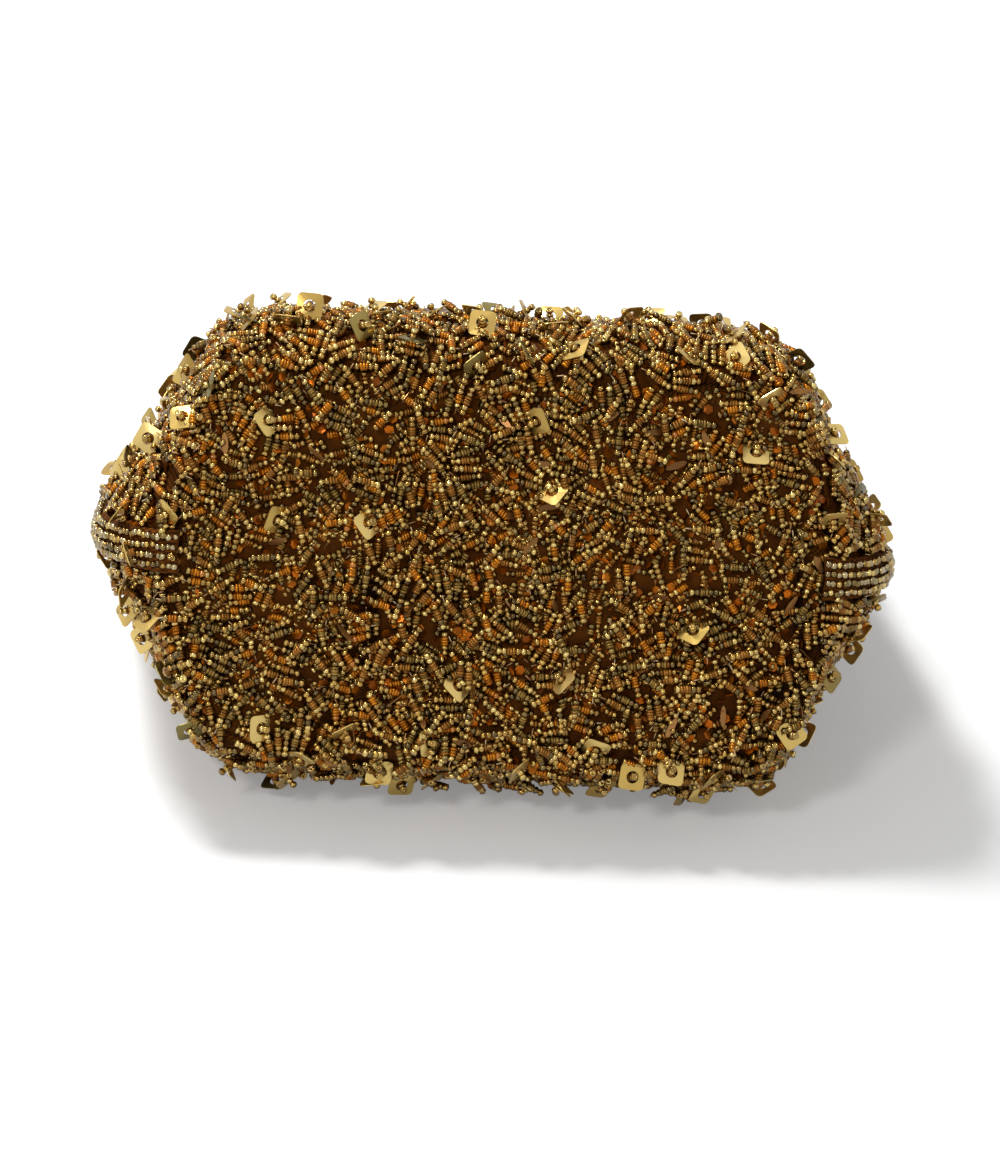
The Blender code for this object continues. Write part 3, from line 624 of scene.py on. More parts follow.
# the strings and squares that stand out most sit where the solid model has its raised ones
STRING_LENGTH, STRING_ROOT, STRING_ROOM = 8.5 * MM, 0.5 * MM, 2.5 * MM
STRING_REACH = 0.4 * STRING_LENGTH
BASE_LIFT, PANEL_LIFT = (4, 12), (6, 24)
SQUARE_LIFT, SQUARE_ROOT, SQUARE_ROOM = 14, 0.7 * MM, 4.6 * MM
SEAM_CLEARANCE, GROUND_CLEARANCE, SEAM_REACH = 6 * MM, 6 * MM, 10.8 * MM
BASE_TRIES, FRONT_TRIES, BACK_TRIES, SCATTER_SEED = 520, 1150, 1300, 11
BASE_SQUARES = ((0.57, 0.71), (0.8, 0.34), (0.54, 0.9), (0.13, 0.87), (0.44, 0.16), (0.15, 0.6), (0.88, 0.84))
FRONT_SQUARES = ((0.14, 0.15), (0.15, 0.38), (0.24, 0.43), (0.14, 0.27), (0.5, 0.2), (0.6, 0.34), (0.8, 0.14))
BACK_SQUARES = ((0.13, 0.79), (0.13, 0.7), (0.14, 0.86), (0.14, 0.63))
ROUND_OVER_SHARE, NORMAL_STEP = 0.27, 0.004


def around(height, share):
    """The point at a share of the way round the section from the right seam."""
    points = outline(height)
    lengths = [(points[i] - points[i - 1]).length for i in range(1, len(points))]
    lengths.append((points[0] - points[-1]).length)
    left, i = share * sum(lengths), 0
    while left > lengths[i]:
        left -= lengths[i]
        i += 1
    p = points[i].lerp(points[(i + 1) % len(points)], left / lengths[i])
    return Vector((p.x, height, p.y))


def wall_spot(climb, share):
    """A point on the front or back panel and its normal, from how far up and how far round it is."""
    if climb < ROUND_OVER_SHARE:
        height = BELLY_HEIGHT * (1 - math.cos(math.pi / 2 * climb / ROUND_OVER_SHARE))
    else:
        height = mix(BELLY_HEIGHT, MOUTH_HEIGHT, (climb - ROUND_OVER_SHARE) / (1 - ROUND_OVER_SHARE))
    point = around(height, share)
    beside = around(height, (share + NORMAL_STEP) % 1) - around(height, (share - NORMAL_STEP) % 1)
    rise = around(height + MM, share) - around(max(height - MM, 0), share)
    return point, rise.cross(beside).normalized()


def base_spot(across, deep):
    return Vector(((across - 0.5) * BASE_WIDTH, 0, (deep - 0.5) * BASE_DEPTH)), Vector((0, -1, 0))


def is_inside(point, field):
    """Whether a point of the base lies inside an outline of (x, z) points."""
    hit = False
    for i, b in enumerate(field):
        a = field[i - 1]
        if (a.y > point.z) != (b.y > point.z):
            if point.x < a.x + (b.x - a.x) * (point.z - a.y) / (b.y - a.y):
                hit = not hit
    return hit


def seats(spot, keep, squares, tries, seed):
    """Seats of a panel's squares, then of strings clear of them: point, stand, whether square, and lift."""
    dice = random.Random(seed)
    drawn = [(shares, True) for shares in squares]
    drawn += [((dice.random(), dice.random()), False) for _ in range(tries)]
    found, taken = [], []
    for shares, is_square in drawn:
        turn, lift = dice.random(), dice.random()
        point, normal = spot(*shares)
        stand = normal.to_track_quat("Z", "X").to_matrix() @ Matrix.Rotation(2 * math.pi * turn, 3, "Z")
        reach = stand @ Vector((STRING_REACH, 0, 0))
        room = [(point - reach, STRING_ROOM), (point, STRING_ROOM), (point + reach, STRING_ROOM)]
        if is_square:
            room = [(point, SQUARE_ROOM)]
        is_free = all((p - q).length >= a + b for p, a in room for q, b in taken)
        if is_square or (is_free and keep(point)):
            found.append((point, stand, is_square, lift))
            taken.extend(room)
    return found


base_field = outline(0, SEAM_CLEARANCE)


def on_base(p):
    return is_inside(p, base_field)


def on_wall(p):
    return SEAM_CLEARANCE < p.y < MOUTH_HEIGHT - SEAM_CLEARANCE


def on_front(p):
    return on_wall(p) and p.z > SEAM_REACH


def on_back(p):
    return on_wall(p) and p.z < -SEAM_REACH and off_ground(p) > GROUND_CLEARANCE


square_places = []
upper = Room(1.8 * MM)
for index, (spot, keep, squares, tries, lifts) in enumerate((
    (base_spot, on_base, BASE_SQUARES, BASE_TRIES, BASE_LIFT),
    (wall_spot, on_front, FRONT_SQUARES, FRONT_TRIES, PANEL_LIFT),
    (wall_spot, on_back, BACK_SQUARES, BACK_TRIES, PANEL_LIFT),
)):
    for point, stand, is_square, share in seats(spot, keep, squares, tries, SCATTER_SEED + index):
        if is_square:
            square_places.append((point, stand, SQUARE_LIFT + 30))
            continue
        lift = math.radians(mix(lifts[0], lifts[1], share))
        centre = point + stand @ Vector((0, 0, STRING_LENGTH / 2 * math.sin(lift) - STRING_ROOT))
        along = stand @ Vector((math.cos(lift), 0, math.sin(lift)))
        string = draw(STRINGS)
        sew_string(string, centre, along, is_near(centre))
        for p in spots(string, centre, along):
            upper.take(p)

SIDE_PITCH, TIP_OVERLAP, SLIP, LOW = 2.1 * MM, 0.6 * MM, 1.1 * MM, 9 * MM
TUFT, TUFT_TURN = 3, (0.35, 1.1)


def comb(starts, room, strings, spread, lifts, rise, wanted):
    """Tufts of strings side by side and tip over root, each tuft turned a little from the one before."""
    for _ in range(starts):
        waiting = deque([(*random_seat(), rng.gauss(0, 0.5), 0)])
        while waiting:
            point, normal, turn, number = waiting.popleft()
            if not clear_of_seams(point) or rng.random() > wanted(point):
                continue
            if number == TUFT:
                turn, number = turn * 0.5 + rng.choice((-1, 1)) * rng.uniform(*TUFT_TURN), 0
            string = draw(strings)
            flat = combed(point, normal, turn + rng.gauss(0, spread))
            lift = math.radians(rng.uniform(*lifts)) if off_ground(point) > LOW else 0.0
            along = (flat * math.cos(lift) + normal * math.sin(lift)).normalized()
            length = length_of(string)
            centre = point + normal * (rise + length / 2 * math.sin(lift))
            places = spots(string, centre, along)
            if not all(room.free(p) and clear_of_seams(p) for p in places):
                continue
            sew_string(string, centre, along, is_near(centre))
            for p in places:
                room.take(p)
            beside = normal.cross(flat)
            for side in (-1, 1):
                slip = flat * rng.gauss(0, SLIP)
                beside_seat = seat_beside(point + beside * side * SIDE_PITCH + slip)
                behind_seat = seat_beside(point + flat * side * (length - TIP_OVERLAP))
                waiting.append((*beside_seat, turn, number + 1))
                waiting.append((*behind_seat, turn + rng.gauss(0, 0.3), number + 1))


def lower_share(p):
    if off_ground(p) < 4 * MM:
        return 0.12
    return 1.0 if is_near(p) else 0.8


def near_share(p):
    return 1.0 if is_near(p) else 0.0


def middle_share(p):
    return 0.9 if is_near(p) else 0.0


def loose_share(p):
    if off_ground(p) < LOW:
        return 0.0
    return 0.45 if is_near(p) else 0.2


lower = Room(1.55 * MM)
comb(2500, lower, STRINGS, 0.06, (3, 11), 0, lower_share)
comb(2500, lower, SHORT_STRINGS, 0.6, (0, 4), 0, lower_share)
comb(1000, Room(1.75 * MM), SHORT_STRINGS, 0.6, (0, 6), -0.5 * MM, near_share)
comb(1500, Room(1.9 * MM), STRINGS, 0.12, (0, 9), 0.9 * MM, middle_share)
comb(230, upper, STRINGS, 0.2, (4, 22), 1.6 * MM, loose_share)

# Sequins in the gaps: small dished amber ones at the roots, and thin mauve-brown petals between strings.
amber_cup = turned_shape("amber_cup", [(1.3 * MM, 0.1 * MM), (0.7 * MM, -0.1 * MM)], 6)
PETAL_LENGTH, PETAL_WIDTH, PETAL_THICKNESS = 5.6 * MM, 1.7 * MM, 0.14 * MM


def petal_shape():
    bm = bmesh.new()
    bm.verts.layers.float.new("tint")
    bmesh.ops.create_circle(bm, cap_ends=True, segments=8, radius=0.5)
    bmesh.ops.scale(bm, vec=(PETAL_LENGTH, PETAL_WIDTH, 1), verts=bm.verts)
    bmesh.ops.solidify(bm, geom=bm.faces[:], thickness=PETAL_THICKNESS)
    mesh = bpy.data.meshes.new("petal")
    bm.to_mesh(mesh)
    bm.free()
    return mesh


petal = petal_shape()
for wanted, clear, rise, spread, shape, tints in (
    (4400, 1.8 * MM, -0.3 * MM, 0.9, amber_cup, (0.0, 0.6)),
    (320, 8.0 * MM, 1.3 * MM, 1.2, petal, (0.7, 1.0)),
):
    room = Room(clear)
    for _ in range(wanted):
        point, normal = random_seat()
        if off_ground(point) < 6 * MM or not clear_of_seams(point) or not (is_near(point) or rng.random() < 0.35):
            continue
        centre = point + normal * rise
        if room.free(centre):
            room.take(centre)
            seat = Matrix.Translation(bag_place @ centre) @ turned_to(bag_turn @ (normal + wobble(spread)))
            sew(panel_at(point)["sequins"], shape, seat, rng.uniform(*tints))

# Square sequins: pale gold foil plates with rounded corners and a wide round hole. Each is held by a short
# string through its hole, so that it stands askew among the others and flashes.
SQUARE_SIDE, SQUARE_CORNER, SQUARE_HOLE = 6.5 * MM, 1.1 * MM, 1.6 * MM
SQUARE_THICKNESS, SQUARE_DISH = 0.22 * MM, 0.3 * MM
SQUARE_SPACING, SQUARE_COUNT = 8.0 * MM, 230
FLASHING, FLASH = 2, Vector((-0.32, -0.36, 0.88))
SHOWN_ON_BASE = ((0.29, 0.6), (0.4, 0.0), (0.14, 0.02), (0.6, 0.19), (0.9, 0.99), (0.27, 0.02), (0.66, 0.0))
SHOWN_ON_WALLS = (
    (0.08, 0.144), (0.05, 0.846), (0.07, 0.868), (0.09, 0.508), (0.22, 0.448), (0.15, 0.38), (0.11, 0.79),
    (0.03, 0.034), (0.06, 0.656), (0.04, 0.272), (0.04, 0.414), (0.3, 0.478), (0.04, 0.484), (0.1, 0.7),
    (0.03, 0.916), (0.16, 0.99), (0.2, 0.03), (0.12, 0.95), (0.08, 0.6), (0.09, 0.57),
)


def square_shape():
    """A square plate with rounded corners and a round hole, twelve points to each edge, a little dished."""
    bm = bmesh.new()
    bm.verts.layers.float.new("tint")
    half = SQUARE_SIDE / 2
    corners = [Vector((half, half)), Vector((-half, half)), Vector((-half, -half)), Vector((half, -half))]
    rim = []
    for i, corner in enumerate(corners):
        to_before = (corners[i - 1] - corner).normalized()
        to_after = (corners[(i + 1) % 4] - corner).normalized()
        rim.extend(rounded_corner(corner, to_before, to_after, SQUARE_CORNER, 2))
    turns = [math.radians(45 + 90 * (i // 3) + 30 * (i % 3 - 1)) for i in range(12)]
    outer = [bm.verts.new((p.x, p.y, 0)) for p in rim]
    inner = [
        bm.verts.new((SQUARE_HOLE * math.cos(turn), SQUARE_HOLE * math.sin(turn), SQUARE_DISH)) for turn in turns
    ]
    edges = [bm.edges.new((ring[i - 1], ring[i])) for ring in (outer, inner) for i in range(12)]
    bmesh.ops.bridge_loops(bm, edges=edges)
    bmesh.ops.solidify(bm, geom=bm.faces[:], thickness=SQUARE_THICKNESS)
    bm.normal_update()
    bmesh.ops.recalc_face_normals(bm, faces=bm.faces)
    mesh = bpy.data.meshes.new("square_sequin")
    bm.to_mesh(mesh)
    bm.free()
    return mesh


square_plate = square_shape()
shown = [base_spot(*shares) for shares in SHOWN_ON_BASE] + [wall_spot(*shares) for shares in SHOWN_ON_WALLS]
while len(shown) < SQUARE_COUNT:
    point, normal = random_seat()
    seat = point + normal * BEAD_SEAT
    is_wanted = off_ground(point) > 8 * MM and clear_of_seams(seat) and point.y > BEAD_SEAT + 1 * MM
    if is_wanted and (point.y < 45 * MM or rng.random() < 0.4):
        taken = [other for other, _ in shown] + [other for other, _, _ in square_places]
        if all((seat - other).length > SQUARE_SPACING for other in taken):
            shown.append((seat, normal))
for point, normal in shown:
    stand = normal.to_track_quat("Z", "X").to_matrix() @ Matrix.Rotation(rng.uniform(0, 6.28), 3, "Z")
    square_places.append((point, stand, rng.uniform(30, 65)))

SQUARE_STEM = [COPPER, COPPER, CHAMPAGNE, CHAMPAGNE]
for number, (point, stand, lift) in enumerate(square_places):
    panel = panel_at(point - stand @ Vector((0, 0, 1)) * BEAD_SEAT)
    rise = SQUARE_SIDE / 2 * math.sin(math.radians(lift)) - SQUARE_ROOT - (2.0 if point.y < MM else 0.8) * MM
    place = bag_place @ Matrix.Translation(point) @ stand.to_4x4() @ Matrix.Translation((0, 0, rise))
    place = place @ Matrix.Rotation(math.radians(lift), 4, "X")
    if number < FLASHING:
        place = Matrix.Translation(place.translation) @ FLASH.to_track_quat("Z", "X").to_matrix().to_4x4()
    sew(panel["squares"], square_plate, place, rng.random())
    lean = Matrix.Rotation(math.radians(rng.uniform(-25, 25)), 4, "X")
    for i, ((shape, low, high), p) in enumerate(zip(SQUARE_STEM, spots(SQUARE_STEM, Vector((0, 0, 0.5 * MM)), Vector((0, 0, 1))))):
        seat = place @ lean @ Matrix.Translation(p)
        kind = "end" if i == len(SQUARE_STEM) - 1 else shape
        sew(panel["beads" if shape == "bead" else "discs"], near_shapes[kind], seat, rng.uniform(low, high))


def tinted_finish(name, stops, roughness):
    """A finish whose colour is read from each element's own tint."""
    finish, tree, shader = new_finish(name)
    tint = tree.nodes.new("ShaderNodeAttribute")
    tint.attribute_name = "tint"
    shade = colour_ramp(tree, stops)
    tree.links.new(tint.outputs["Fac"], shade.inputs["Fac"])
    tree.links.new(shade.outputs["Color"], shader.inputs["Base Color"])
    shader.inputs["Roughness"].default_value = roughness
    return finish, tree, shader, tint


def metal_share(tree, shader, tint, stops):
    """How metallic an element is, from its tint."""
    share = colour_ramp(tree, [(at, (value, value, value, 1)) for at, value in stops])
    tree.links.new(tint.outputs["Fac"], share.inputs["Fac"])
    tree.links.new(share.outputs["Color"], shader.inputs["Metallic"])


bead_finish, tree, shader, tint = tinted_finish("Lined glass beads", [
    (0.0, linear(188, 152, 74)),
    (0.25, linear(134, 100, 38)),
    (0.45, linear(216, 188, 112)),
    (0.5, linear(118, 96, 42)),
    (0.65, linear(80, 60, 22)),
    (0.8, linear(148, 124, 62)),
    (0.84, linear(184, 166, 122)),
    (0.88, linear(132, 114, 78)),
    (0.92, linear(196, 122, 26)),
    (1.0, linear(166, 90, 14)),
], 0.12)
metal_share(tree, shader, tint, [(0.88, 0.92), (0.92, 0.4)])
shader.inputs["Coat Weight"].default_value = 0.5
shader.inputs["Coat Roughness"].default_value = 0.03

disc_finish, tree, shader, tint = tinted_finish("Thin glass discs", [
    (0.0, linear(198, 124, 30)),
    (0.35, linear(148, 84, 14)),
    (0.4, linear(166, 112, 46)),
    (0.7, linear(118, 76, 26)),
    (0.75, linear(158, 124, 62)),
    (1.0, linear(104, 80, 34)),
], 0.24)
shader.inputs["Metallic"].default_value = 0.6
shader.inputs["Specular IOR Level"].default_value = 0.15

sequin_finish, tree, shader, tint = tinted_finish("Thin sequins", [
    (0.0, linear(198, 104, 10)),
    (0.3, linear(124, 60, 4)),
    (0.6, linear(170, 98, 14)),
    (0.7, linear(166, 118, 66)),
    (1.0, linear(108, 72, 36)),
], 0.25)
shader.inputs["Metallic"].default_value = 0.5
shader.inputs["Specular IOR Level"].default_value = 0.15

square_finish, tree, shader, tint = tinted_finish("Pale gold foil", [
    (0.0, linear(222, 194, 120)),
    (0.6, linear(196, 164, 86)),
    (0.66, linear(138, 124, 70)),
    (0.76, linear(92, 84, 44)),
    (0.8, linear(198, 166, 90)),
    (1.0, linear(172, 138, 64)),
], 0.3)
metal_share(tree, shader, tint, [(0.76, 0.8), (0.8, 0.6)])

# Thread finish: the strap stitches take only its brown tints. The pale cream end, taken only by the thread stubs, is a
# painted highlight.
thread_and_glint_finish, tree, shader, tint = tinted_finish("Waxed thread and painted glints", [
    (0.0, linear(232, 204, 158)),
    (0.6, linear(204, 154, 98)),
    (1.0, linear(150, 104, 58)),
], 0.35)
finishes = {
    "beads": (bead_finish, "grey_gold_beads", True),
    "discs": (disc_finish, "grey_gold_beads", True),
    "sequins": (sequin_finish, "beaded_cloth", False),
    "squares": (square_finish, "ring_metal", False),
    "threads": (thread_and_glint_finish, "beaded_cloth", True),
}
for panel in PANELS:
    for kind, (finish, slot, smooth) in finishes.items():
        bm = panels[panel][kind]
        if bm.faces:
            finished(panel + "_" + kind, bm, finish, "bag", place=Matrix(), smooth=smooth)

# Side seams: four rows of small greyish seed beads on a narrow tape, couched down row by row over the
# seam that joins front and back, from the edge of the base to just under the mouth.
SEAM_ROWS, SEAM_PITCH, SEAM_MARGIN = 4, 2.4 * MM, 3 * MM
TAPE_WIDTH, TAPE_THICKNESS, SEED_STEP, ROW_DEPTH = 11.5 * MM, 0.5 * MM, 1.4 * MM, -0.2 * MM
SEED_TINTS, SEED_SHARES = ((0.84, 0.88), (0.0, 0.45), (0.5, 0.8)), (5, 3, 2)
seam_heights = [BELLY_HEIGHT * (1 - math.cos(math.pi / 2 * i / 120)) for i in range(4, 121)]
seam_heights += [mix(BELLY_HEIGHT, MOUTH_HEIGHT - SEAM_MARGIN, i / 200) for i in range(1, 201)]


def seam_point(height, side, distance, lift):
    """A point round the section from a seam, positive towards the front, lifted off the skin."""
    points = outline(height)
    count = len(points)
    step = side if distance >= 0 else -side
    left, i = abs(distance), 2 if side > 0 else count // 2 + 2
    while True:
        a, b = points[i % count], points[(i + step) % count]
        if left <= (b - a).length:
            along = (b - a).normalized()
            out = Vector((along.y, -along.x)) * step
            p = a + along * left + out * lift
            return Vector((p.x, height, p.y))
        left -= (b - a).length
        i += step


for label, side in (("left", -1), ("right", 1)):
    bm = tinted_mesh()
    for row in range(SEAM_ROWS):
        middle = (row + 0.5 - SEAM_ROWS / 2) * SEAM_PITCH
        line = [seam_point(height, side, middle, ROW_DEPTH) for height in seam_heights]
        travelled, due = 0.0, 0.0
        for a, b in zip(line, line[1:]):
            travelled += (b - a).length
            if travelled >= due:
                due += SEED_STEP
                facing = (b - a).normalized() + wobble(0.14)
                seat = bag_place @ Matrix.Translation(a + wobble(0.16 * MM)) @ turned_to(facing)
                size = rng.uniform(0.86, 1.08)
                seat = seat @ Matrix.Diagonal((size, size, size, 1))
                span = rng.choices(SEED_TINTS, SEED_SHARES)[0]
                sew(bm, near_shapes["bead"], seat, rng.uniform(*span))
    rows = finished("seam_rows_" + label, bm, bead_finish, "bag", place=Matrix())
    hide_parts("side_seam_" + label)
    bm = bmesh.new()
    thread = bm.verts.layers.float_vector.new("thread")
    across = [TAPE_WIDTH * (i / 8 - 0.5) for i in range(9)]
    strips = []
    for height in seam_heights[::8]:
        verts = [bm.verts.new(seam_point(height, side, distance, ROW_DEPTH - BEAD_RADIUS)) for distance in across]
        for v, distance in zip(verts, across):
            v[thread] = (distance, height, 0)
        strips.append([bm.edges.new(pair) for pair in zip(verts, verts[1:])])
    for a, b in zip(strips, strips[1:]):
        bmesh.ops.bridge_loops(bm, edges=a + b)
    tape = finished("seam_tape_" + label, bm, ground_finish, "bag")
    layer = tape.modifiers.new("Thickness", "SOLIDIFY")
    layer.thickness = TAPE_THICKNESS
    layer.offset = -side

# Magnetic snap: a pressed socket and stud of plated brass, one half on each side of the lining, held by
# prongs that are folded behind it.
snap_finish, tree, shader = new_finish("Plated snap")
where = tree.nodes.new("ShaderNodeTexCoord")
wear = tree.nodes.new("ShaderNodeTexNoise")
wear.inputs["Scale"].default_value = 700
wear.inputs["Detail"].default_value = 4
tree.links.new(where.outputs["Object"], wear.inputs["Vector"])
shade = colour_ramp(tree, [(0.4, linear(176, 140, 82)), (0.7, linear(212, 182, 122))])
tree.links.new(wear.outputs["Fac"], shade.inputs["Fac"])
tree.links.new(shade.outputs["Color"], shader.inputs["Base Color"])
rough = colour_ramp(tree, [(0.3, (0.18, 0.18, 0.18, 1)), (0.8, (0.4, 0.4, 0.4, 1))])
tree.links.new(wear.outputs["Fac"], rough.inputs["Fac"])
tree.links.new(rough.outputs["Color"], shader.inputs["Roughness"])
shader.inputs["Metallic"].default_value = 1
for node in ("snap_socket", "snap_stud"):
    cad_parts[node].data.materials.clear()
    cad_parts[node].data.materials.append(snap_finish)

# Strap: brown satin folded over a soft core, its ends turned round the two rings and stitched. Behind
# the bag it lies flat in a bow. Two short tabs of the same cloth hold the rings in the mouth's ends.
RING_WIRE, RING_WIDTH, RING_LENGTH, RING_RISE = 1.3 * MM, 17 * MM, 13 * MM, 6 * MM
RIBBON, LOOP_CLEARANCE, TAB_WIDTH, TAB_TAIL = 1.0 * MM, 0.3 * MM, 11 * MM, 24 * MM
STRAP_WIDTH, STRAP_THICKNESS, STRAP_REACH, STRAP_END = 13 * MM, 2.4 * MM, 88 * MM, 9 * MM
LAYERS = 3.0 * MM + 0.5 * MM + 0.8 * MM + 0.3 * MM
end_angle = math.atan(2 * MOUTH_BACK / (MOUTH_WIDTH - MOUTH_FLAT))
RING_X = MOUTH_WIDTH / 2 - (LAYERS + RIBBON * math.cos(end_angle)) / math.sin(end_angle) - TAB_WIDTH / 2
strap_finish = cloth_finish("Strap satin", linear(70, 46, 28), linear(120, 86, 54), 2600, 0.08 * MM, 0.5, 0.4)
ring_axis = bag_place @ Vector((0, MOUTH_HEIGHT + RING_RISE, 0))
ring_droop = math.asin((ring_axis.z - RING_WIRE - LOOP_CLEARANCE - RIBBON) / RING_LENGTH)
ring_place = Matrix.Translation(ring_axis) @ Matrix.Rotation(-ring_droop, 4, "X")
strap_axis = ring_place @ Vector((0, RING_LENGTH, 0))
strap_far = STRAP_END + STRAP_REACH + STRAP_WIDTH / 2
strap_droop = math.asin((strap_axis.z - STRAP_THICKNESS / 2) / strap_far)
strap_place = Matrix.Translation(strap_axis) @ Matrix.Rotation(-strap_droop, 4, "X")


corners = [Vector((8.5 * MM, 0)), Vector((8.5 * MM, RING_LENGTH)), Vector((-8.5 * MM, RING_LENGTH)), Vector((-8.5 * MM, 0))]
wire_line = []
for i, corner in enumerate(corners):
    to_before = (corners[i - 1] - corner).normalized()
    to_after = (corners[(i + 1) % 4] - corner).normalized()
    wire_line.extend(rounded_corner(corner, to_before, to_after, 3 * MM, 6))
for label, side in (("left", -1), ("right", 1)):
    bm = swept_loop("ring_wire", [(p.x, p.y, 0) for p in wire_line], RING_WIRE, 6)
    place = ring_place @ Matrix.Translation((side * RING_X, 0, 0))
    ring = finished("ring_wire_" + label, bm, snap_finish, "rings", place=place)
    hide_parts("ring_" + label)


def folded_ribbon(width, tail, x):
    """A ribbon folded round a bar along X at the origin, both tails along -Y, as an open sheet."""
    bm = bmesh.new()
    thread = bm.verts.layers.float_vector.new("thread")
    middle = RING_WIRE + LOOP_CLEARANCE + RIBBON / 2
    leave = math.asin(RIBBON / 2 / middle)
    side = [(-tail, RIBBON / 2), (-tail * 0.6, RIBBON / 2)]
    for i in range(17):
        angle = math.pi - leave - (2 * math.pi - 2 * leave) * i / 16
        side.append((middle * math.cos(angle), middle * math.sin(angle)))
    side += [(-tail * 0.6, -RIBBON / 2), (-tail, -RIBBON / 2)]
    verts, run = [], 0.0
    for i, (y, z) in enumerate(side):
        if i:
            run += math.hypot(y - side[i - 1][0], z - side[i - 1][1])
        v = bm.verts.new((x - width / 2, y, z))
        v[thread] = (0, run, 0)
        verts.append(v)
    edges = [bm.edges.new(pair) for pair in zip(verts, verts[1:])]
    for _ in range(6):
        wider = bmesh.ops.extrude_edge_only(bm, edges=edges)["geom"]
        edges = [g for g in wider if isinstance(g, bmesh.types.BMEdge)]
        new = [g for g in wider if isinstance(g, bmesh.types.BMVert)]
        bmesh.ops.translate(bm, verts=new, vec=(width / 6, 0, 0))
        for v in new:
            v[thread] = (v.co.x, v[thread].y, 0)
    return bm


for label, side in (("left", -1), ("right", 1)):
    bm = folded_ribbon(TAB_WIDTH, TAB_TAIL, 0)
    place = bag_place @ Matrix.Translation((side * RING_X, MOUTH_HEIGHT + RING_RISE, 0))
    tab = finished("tab_ribbon_" + label, bm, strap_finish, "bag", place=place)
    layer = tab.modifiers.new("Thickness", "SOLIDIFY")
    layer.thickness = 0.9 * RIBBON
    layer.offset = 0
    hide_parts("tab_" + label)

SECTION = [(-0.5, 0), (-0.42, 0.36), (-0.2, 0.5), (0, 0.5), (0.2, 0.5), (0.42, 0.36), (0.5, 0), (0.42, -0.36), (0.2, -0.5), (0, -0.5), (-0.2, -0.5), (-0.42, -0.36)]
bm = bmesh.new()
thread = bm.verts.layers.float_vector.new("thread")
rings, run, before = [], 0.0, None
stations = [(-1, 0.0)] + [(0, math.pi * i / 48) for i in range(49)] + [(1, math.pi)]
for kind, angle in stations:
    centre = Vector((RING_X * math.cos(angle), STRAP_END + STRAP_REACH * math.sin(angle), 0))
    out = Vector((math.cos(angle), math.sin(angle), 0))
    if kind:
        centre.y = RING_WIRE + LOOP_CLEARANCE + RIBBON / 2
    if before:
        run += (centre - before).length
    before = centre.copy()
    verts = []
    for across, up in SECTION:
        v = bm.verts.new(centre + out * across * STRAP_WIDTH + Vector((0, 0, up * STRAP_THICKNESS)))
        v[thread] = (across * STRAP_WIDTH, run, 0)
        verts.append(v)
    rings.append([bm.edges.new((verts[i - 1], verts[i])) for i in range(len(verts))])
for a, b in zip(rings, rings[1:]):
    bmesh.ops.bridge_loops(bm, edges=a + b)
bmesh.ops.contextual_create(bm, geom=rings[0])
bmesh.ops.contextual_create(bm, geom=rings[-1])
bm.normal_update()
bmesh.ops.recalc_face_normals(bm, faces=bm.faces)
strap = finished("strap_band", bm, strap_finish, "strap", place=strap_place)
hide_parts("strap")
STITCH, STITCH_STEP, STITCH_EDGE = 2.0 * MM, 3.0 * MM, 0.36
stitch = turned_shape("stitch", [(0.22 * MM, -STITCH / 2), (0.22 * MM, STITCH / 2)], 5)
bm = tinted_mesh()
for across in (-STITCH_EDGE, STITCH_EDGE):
    reach = STRAP_REACH + across * STRAP_WIDTH
    wide = RING_X + across * STRAP_WIDTH
    travelled, due, before = 0.0, STITCH_STEP, None
    for i in range(1, 1440):
        angle = math.pi * i / 1440
        p = Vector((wide * math.cos(angle), STRAP_END + reach * math.sin(angle), 0))
        if before:
            travelled += (p - before).length
            if travelled >= due:
                due += STITCH_STEP
                for face in (-1, 1):
                    stitch_seat = Matrix.Translation(p + Vector((0, 0, face * 0.42 * STRAP_THICKNESS)))
                    sew(bm, stitch, strap_place @ stitch_seat @ turned_to(p - before), rng.uniform(0.6, 0.9))
        before = p
finished("strap_stitches", bm, thread_and_glint_finish, "strap", place=Matrix())
for label, side in (("left", -1), ("right", 1)):
    bm = folded_ribbon(STRAP_WIDTH - 0.6 * MM, STRAP_END, 0)
    place = strap_place @ Matrix.Translation((side * RING_X, 0, 0)) @ Matrix.Rotation(math.pi, 4, "Z")
    end = finished("strap_end_" + label, bm, strap_finish, "strap", place=place)
    layer = end.modifiers.new("Thickness", "SOLIDIFY")
    layer.thickness = 0.9 * RIBBON
    layer.offset = 0

# Floor: a plain pale sheet of paper under the bag, which takes its shadow.
bm = bmesh.new()
bmesh.ops.create_grid(bm, x_segments=2, y_segments=2, size=3)
mesh = bpy.data.meshes.new("floor")
bm.to_mesh(mesh)
bm.free()
floor_finish, tree, shader = new_finish("Pale paper")
shader.inputs["Base Color"].default_value = (0.88, 0.88, 0.88, 1)
shader.inputs["Roughness"].default_value = 0.9
ray = tree.nodes.new("ShaderNodeLightPath")
paleness = tree.nodes.new("ShaderNodeMath")
paleness.operation = "MULTIPLY"
paleness.inputs[1].default_value = 0.22
tree.links.new(ray.outputs["Is Camera Ray"], paleness.inputs[0])
tree.links.new(paleness.outputs[0], shader.inputs["Emission Strength"])
mesh.materials.append(floor_finish)
floor = bpy.data.objects.new("floor", mesh)
bpy.context.scene.collection.objects.link(floor)
floor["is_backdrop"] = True

# Light: a soft white room, and lamps above and to the left.
world = bpy.data.worlds.new("studio")
bpy.context.scene.world = world
world.use_nodes = True
tree = world.node_tree
ground = tree.nodes["Background"]
ray = tree.nodes.new("ShaderNodeLightPath")
seen = tree.nodes.new("ShaderNodeMath")
seen.operation = "MAXIMUM"
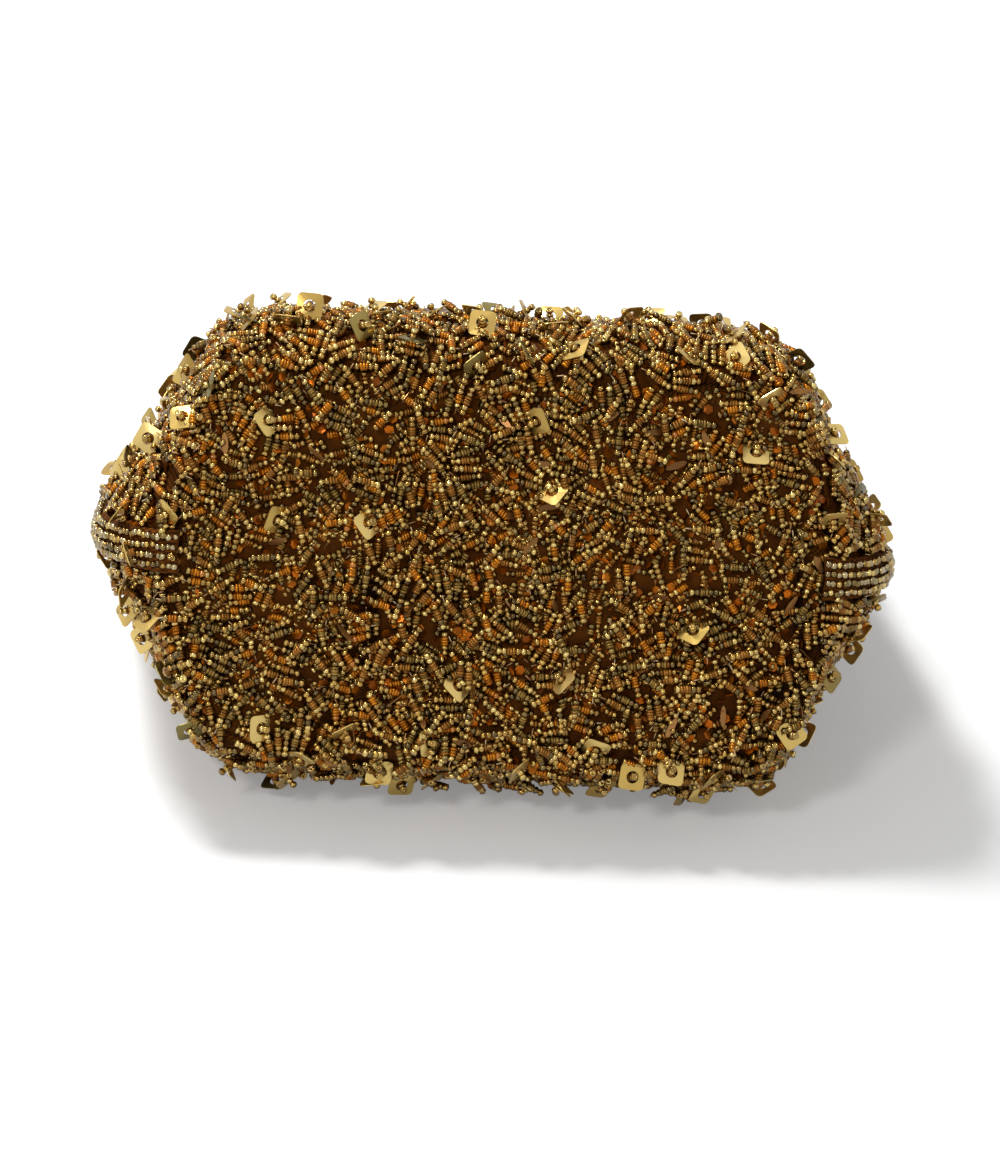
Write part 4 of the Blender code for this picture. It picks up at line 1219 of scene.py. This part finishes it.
tree.links.new(ray.outputs["Is Camera Ray"], seen.inputs[0])
tree.links.new(ray.outputs["Is Glossy Ray"], seen.inputs[1])
through = tree.nodes.new("ShaderNodeMath")
through.operation = "MAXIMUM"
tree.links.new(seen.outputs[0], through.inputs[0])
tree.links.new(ray.outputs["Is Transmission Ray"], through.inputs[1])
strength = tree.nodes.new("ShaderNodeMath")
strength.operation = "MULTIPLY_ADD"
strength.inputs[1].default_value = 0.7
strength.inputs[2].default_value = 0.3
tree.links.new(through.outputs[0], strength.inputs[0])
tree.links.new(strength.outputs[0], ground.inputs["Strength"])
ground.inputs["Color"].default_value = (1, 1, 1, 1)


def lamp(name, at, aim, size, power):
    light = bpy.data.lights.new(name, "AREA")
    light.size = size
    light.energy = power
    made = bpy.data.objects.new(name, light)
    made.location = at
    made.rotation_euler = (Vector(aim) - Vector(at)).to_track_quat("-Z", "Y").to_euler()
    bpy.context.scene.collection.objects.link(made)


lamp("key_above", (-0.38, 0.3, 0.92), (0, 0, 0.05), 0.22, 9.5)
lamp("fill_front", (-0.45, -0.75, 0.85), (0, 0, 0.05), 0.16, 2.7)

# Camera: in front of the boxed bottom and above it, a little to the left, turned a few degrees.
AZIMUTH, ELEVATION, ROLL = math.radians(4.75), math.radians(33), math.radians(5)
DISTANCE, FOCAL, PICTURE_HEIGHT = 1.0, 3880, 1160
look = Vector((math.sin(AZIMUTH) * math.cos(ELEVATION), math.cos(AZIMUTH) * math.cos(ELEVATION), -math.sin(ELEVATION)))
right = Vector((math.cos(AZIMUTH), -math.sin(AZIMUTH), 0))
above = right.cross(look)
turned_right = right * math.cos(ROLL) + above * math.sin(ROLL)
turned_up = above * math.cos(ROLL) - right * math.sin(ROLL)
lens = bpy.data.cameras.new("camera")
lens.sensor_width = 36
lens.lens = 36 * FOCAL / PICTURE_HEIGHT
lens.shift_x = (500 - 491) / PICTURE_HEIGHT
lens.shift_y = (536.75 - 580) / PICTURE_HEIGHT
lens.clip_end = 20
camera = bpy.data.objects.new("camera", lens)
facing = Matrix((turned_right, turned_up, -look)).transposed()
camera.matrix_world = Matrix.Translation(Vector((0, -0.02, 0.05)) - look * DISTANCE) @ facing.to_4x4()
bpy.context.scene.collection.objects.link(camera)
bpy.context.scene.camera = camera
bpy.context.scene.view_settings.view_transform = "Standard"

low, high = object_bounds()
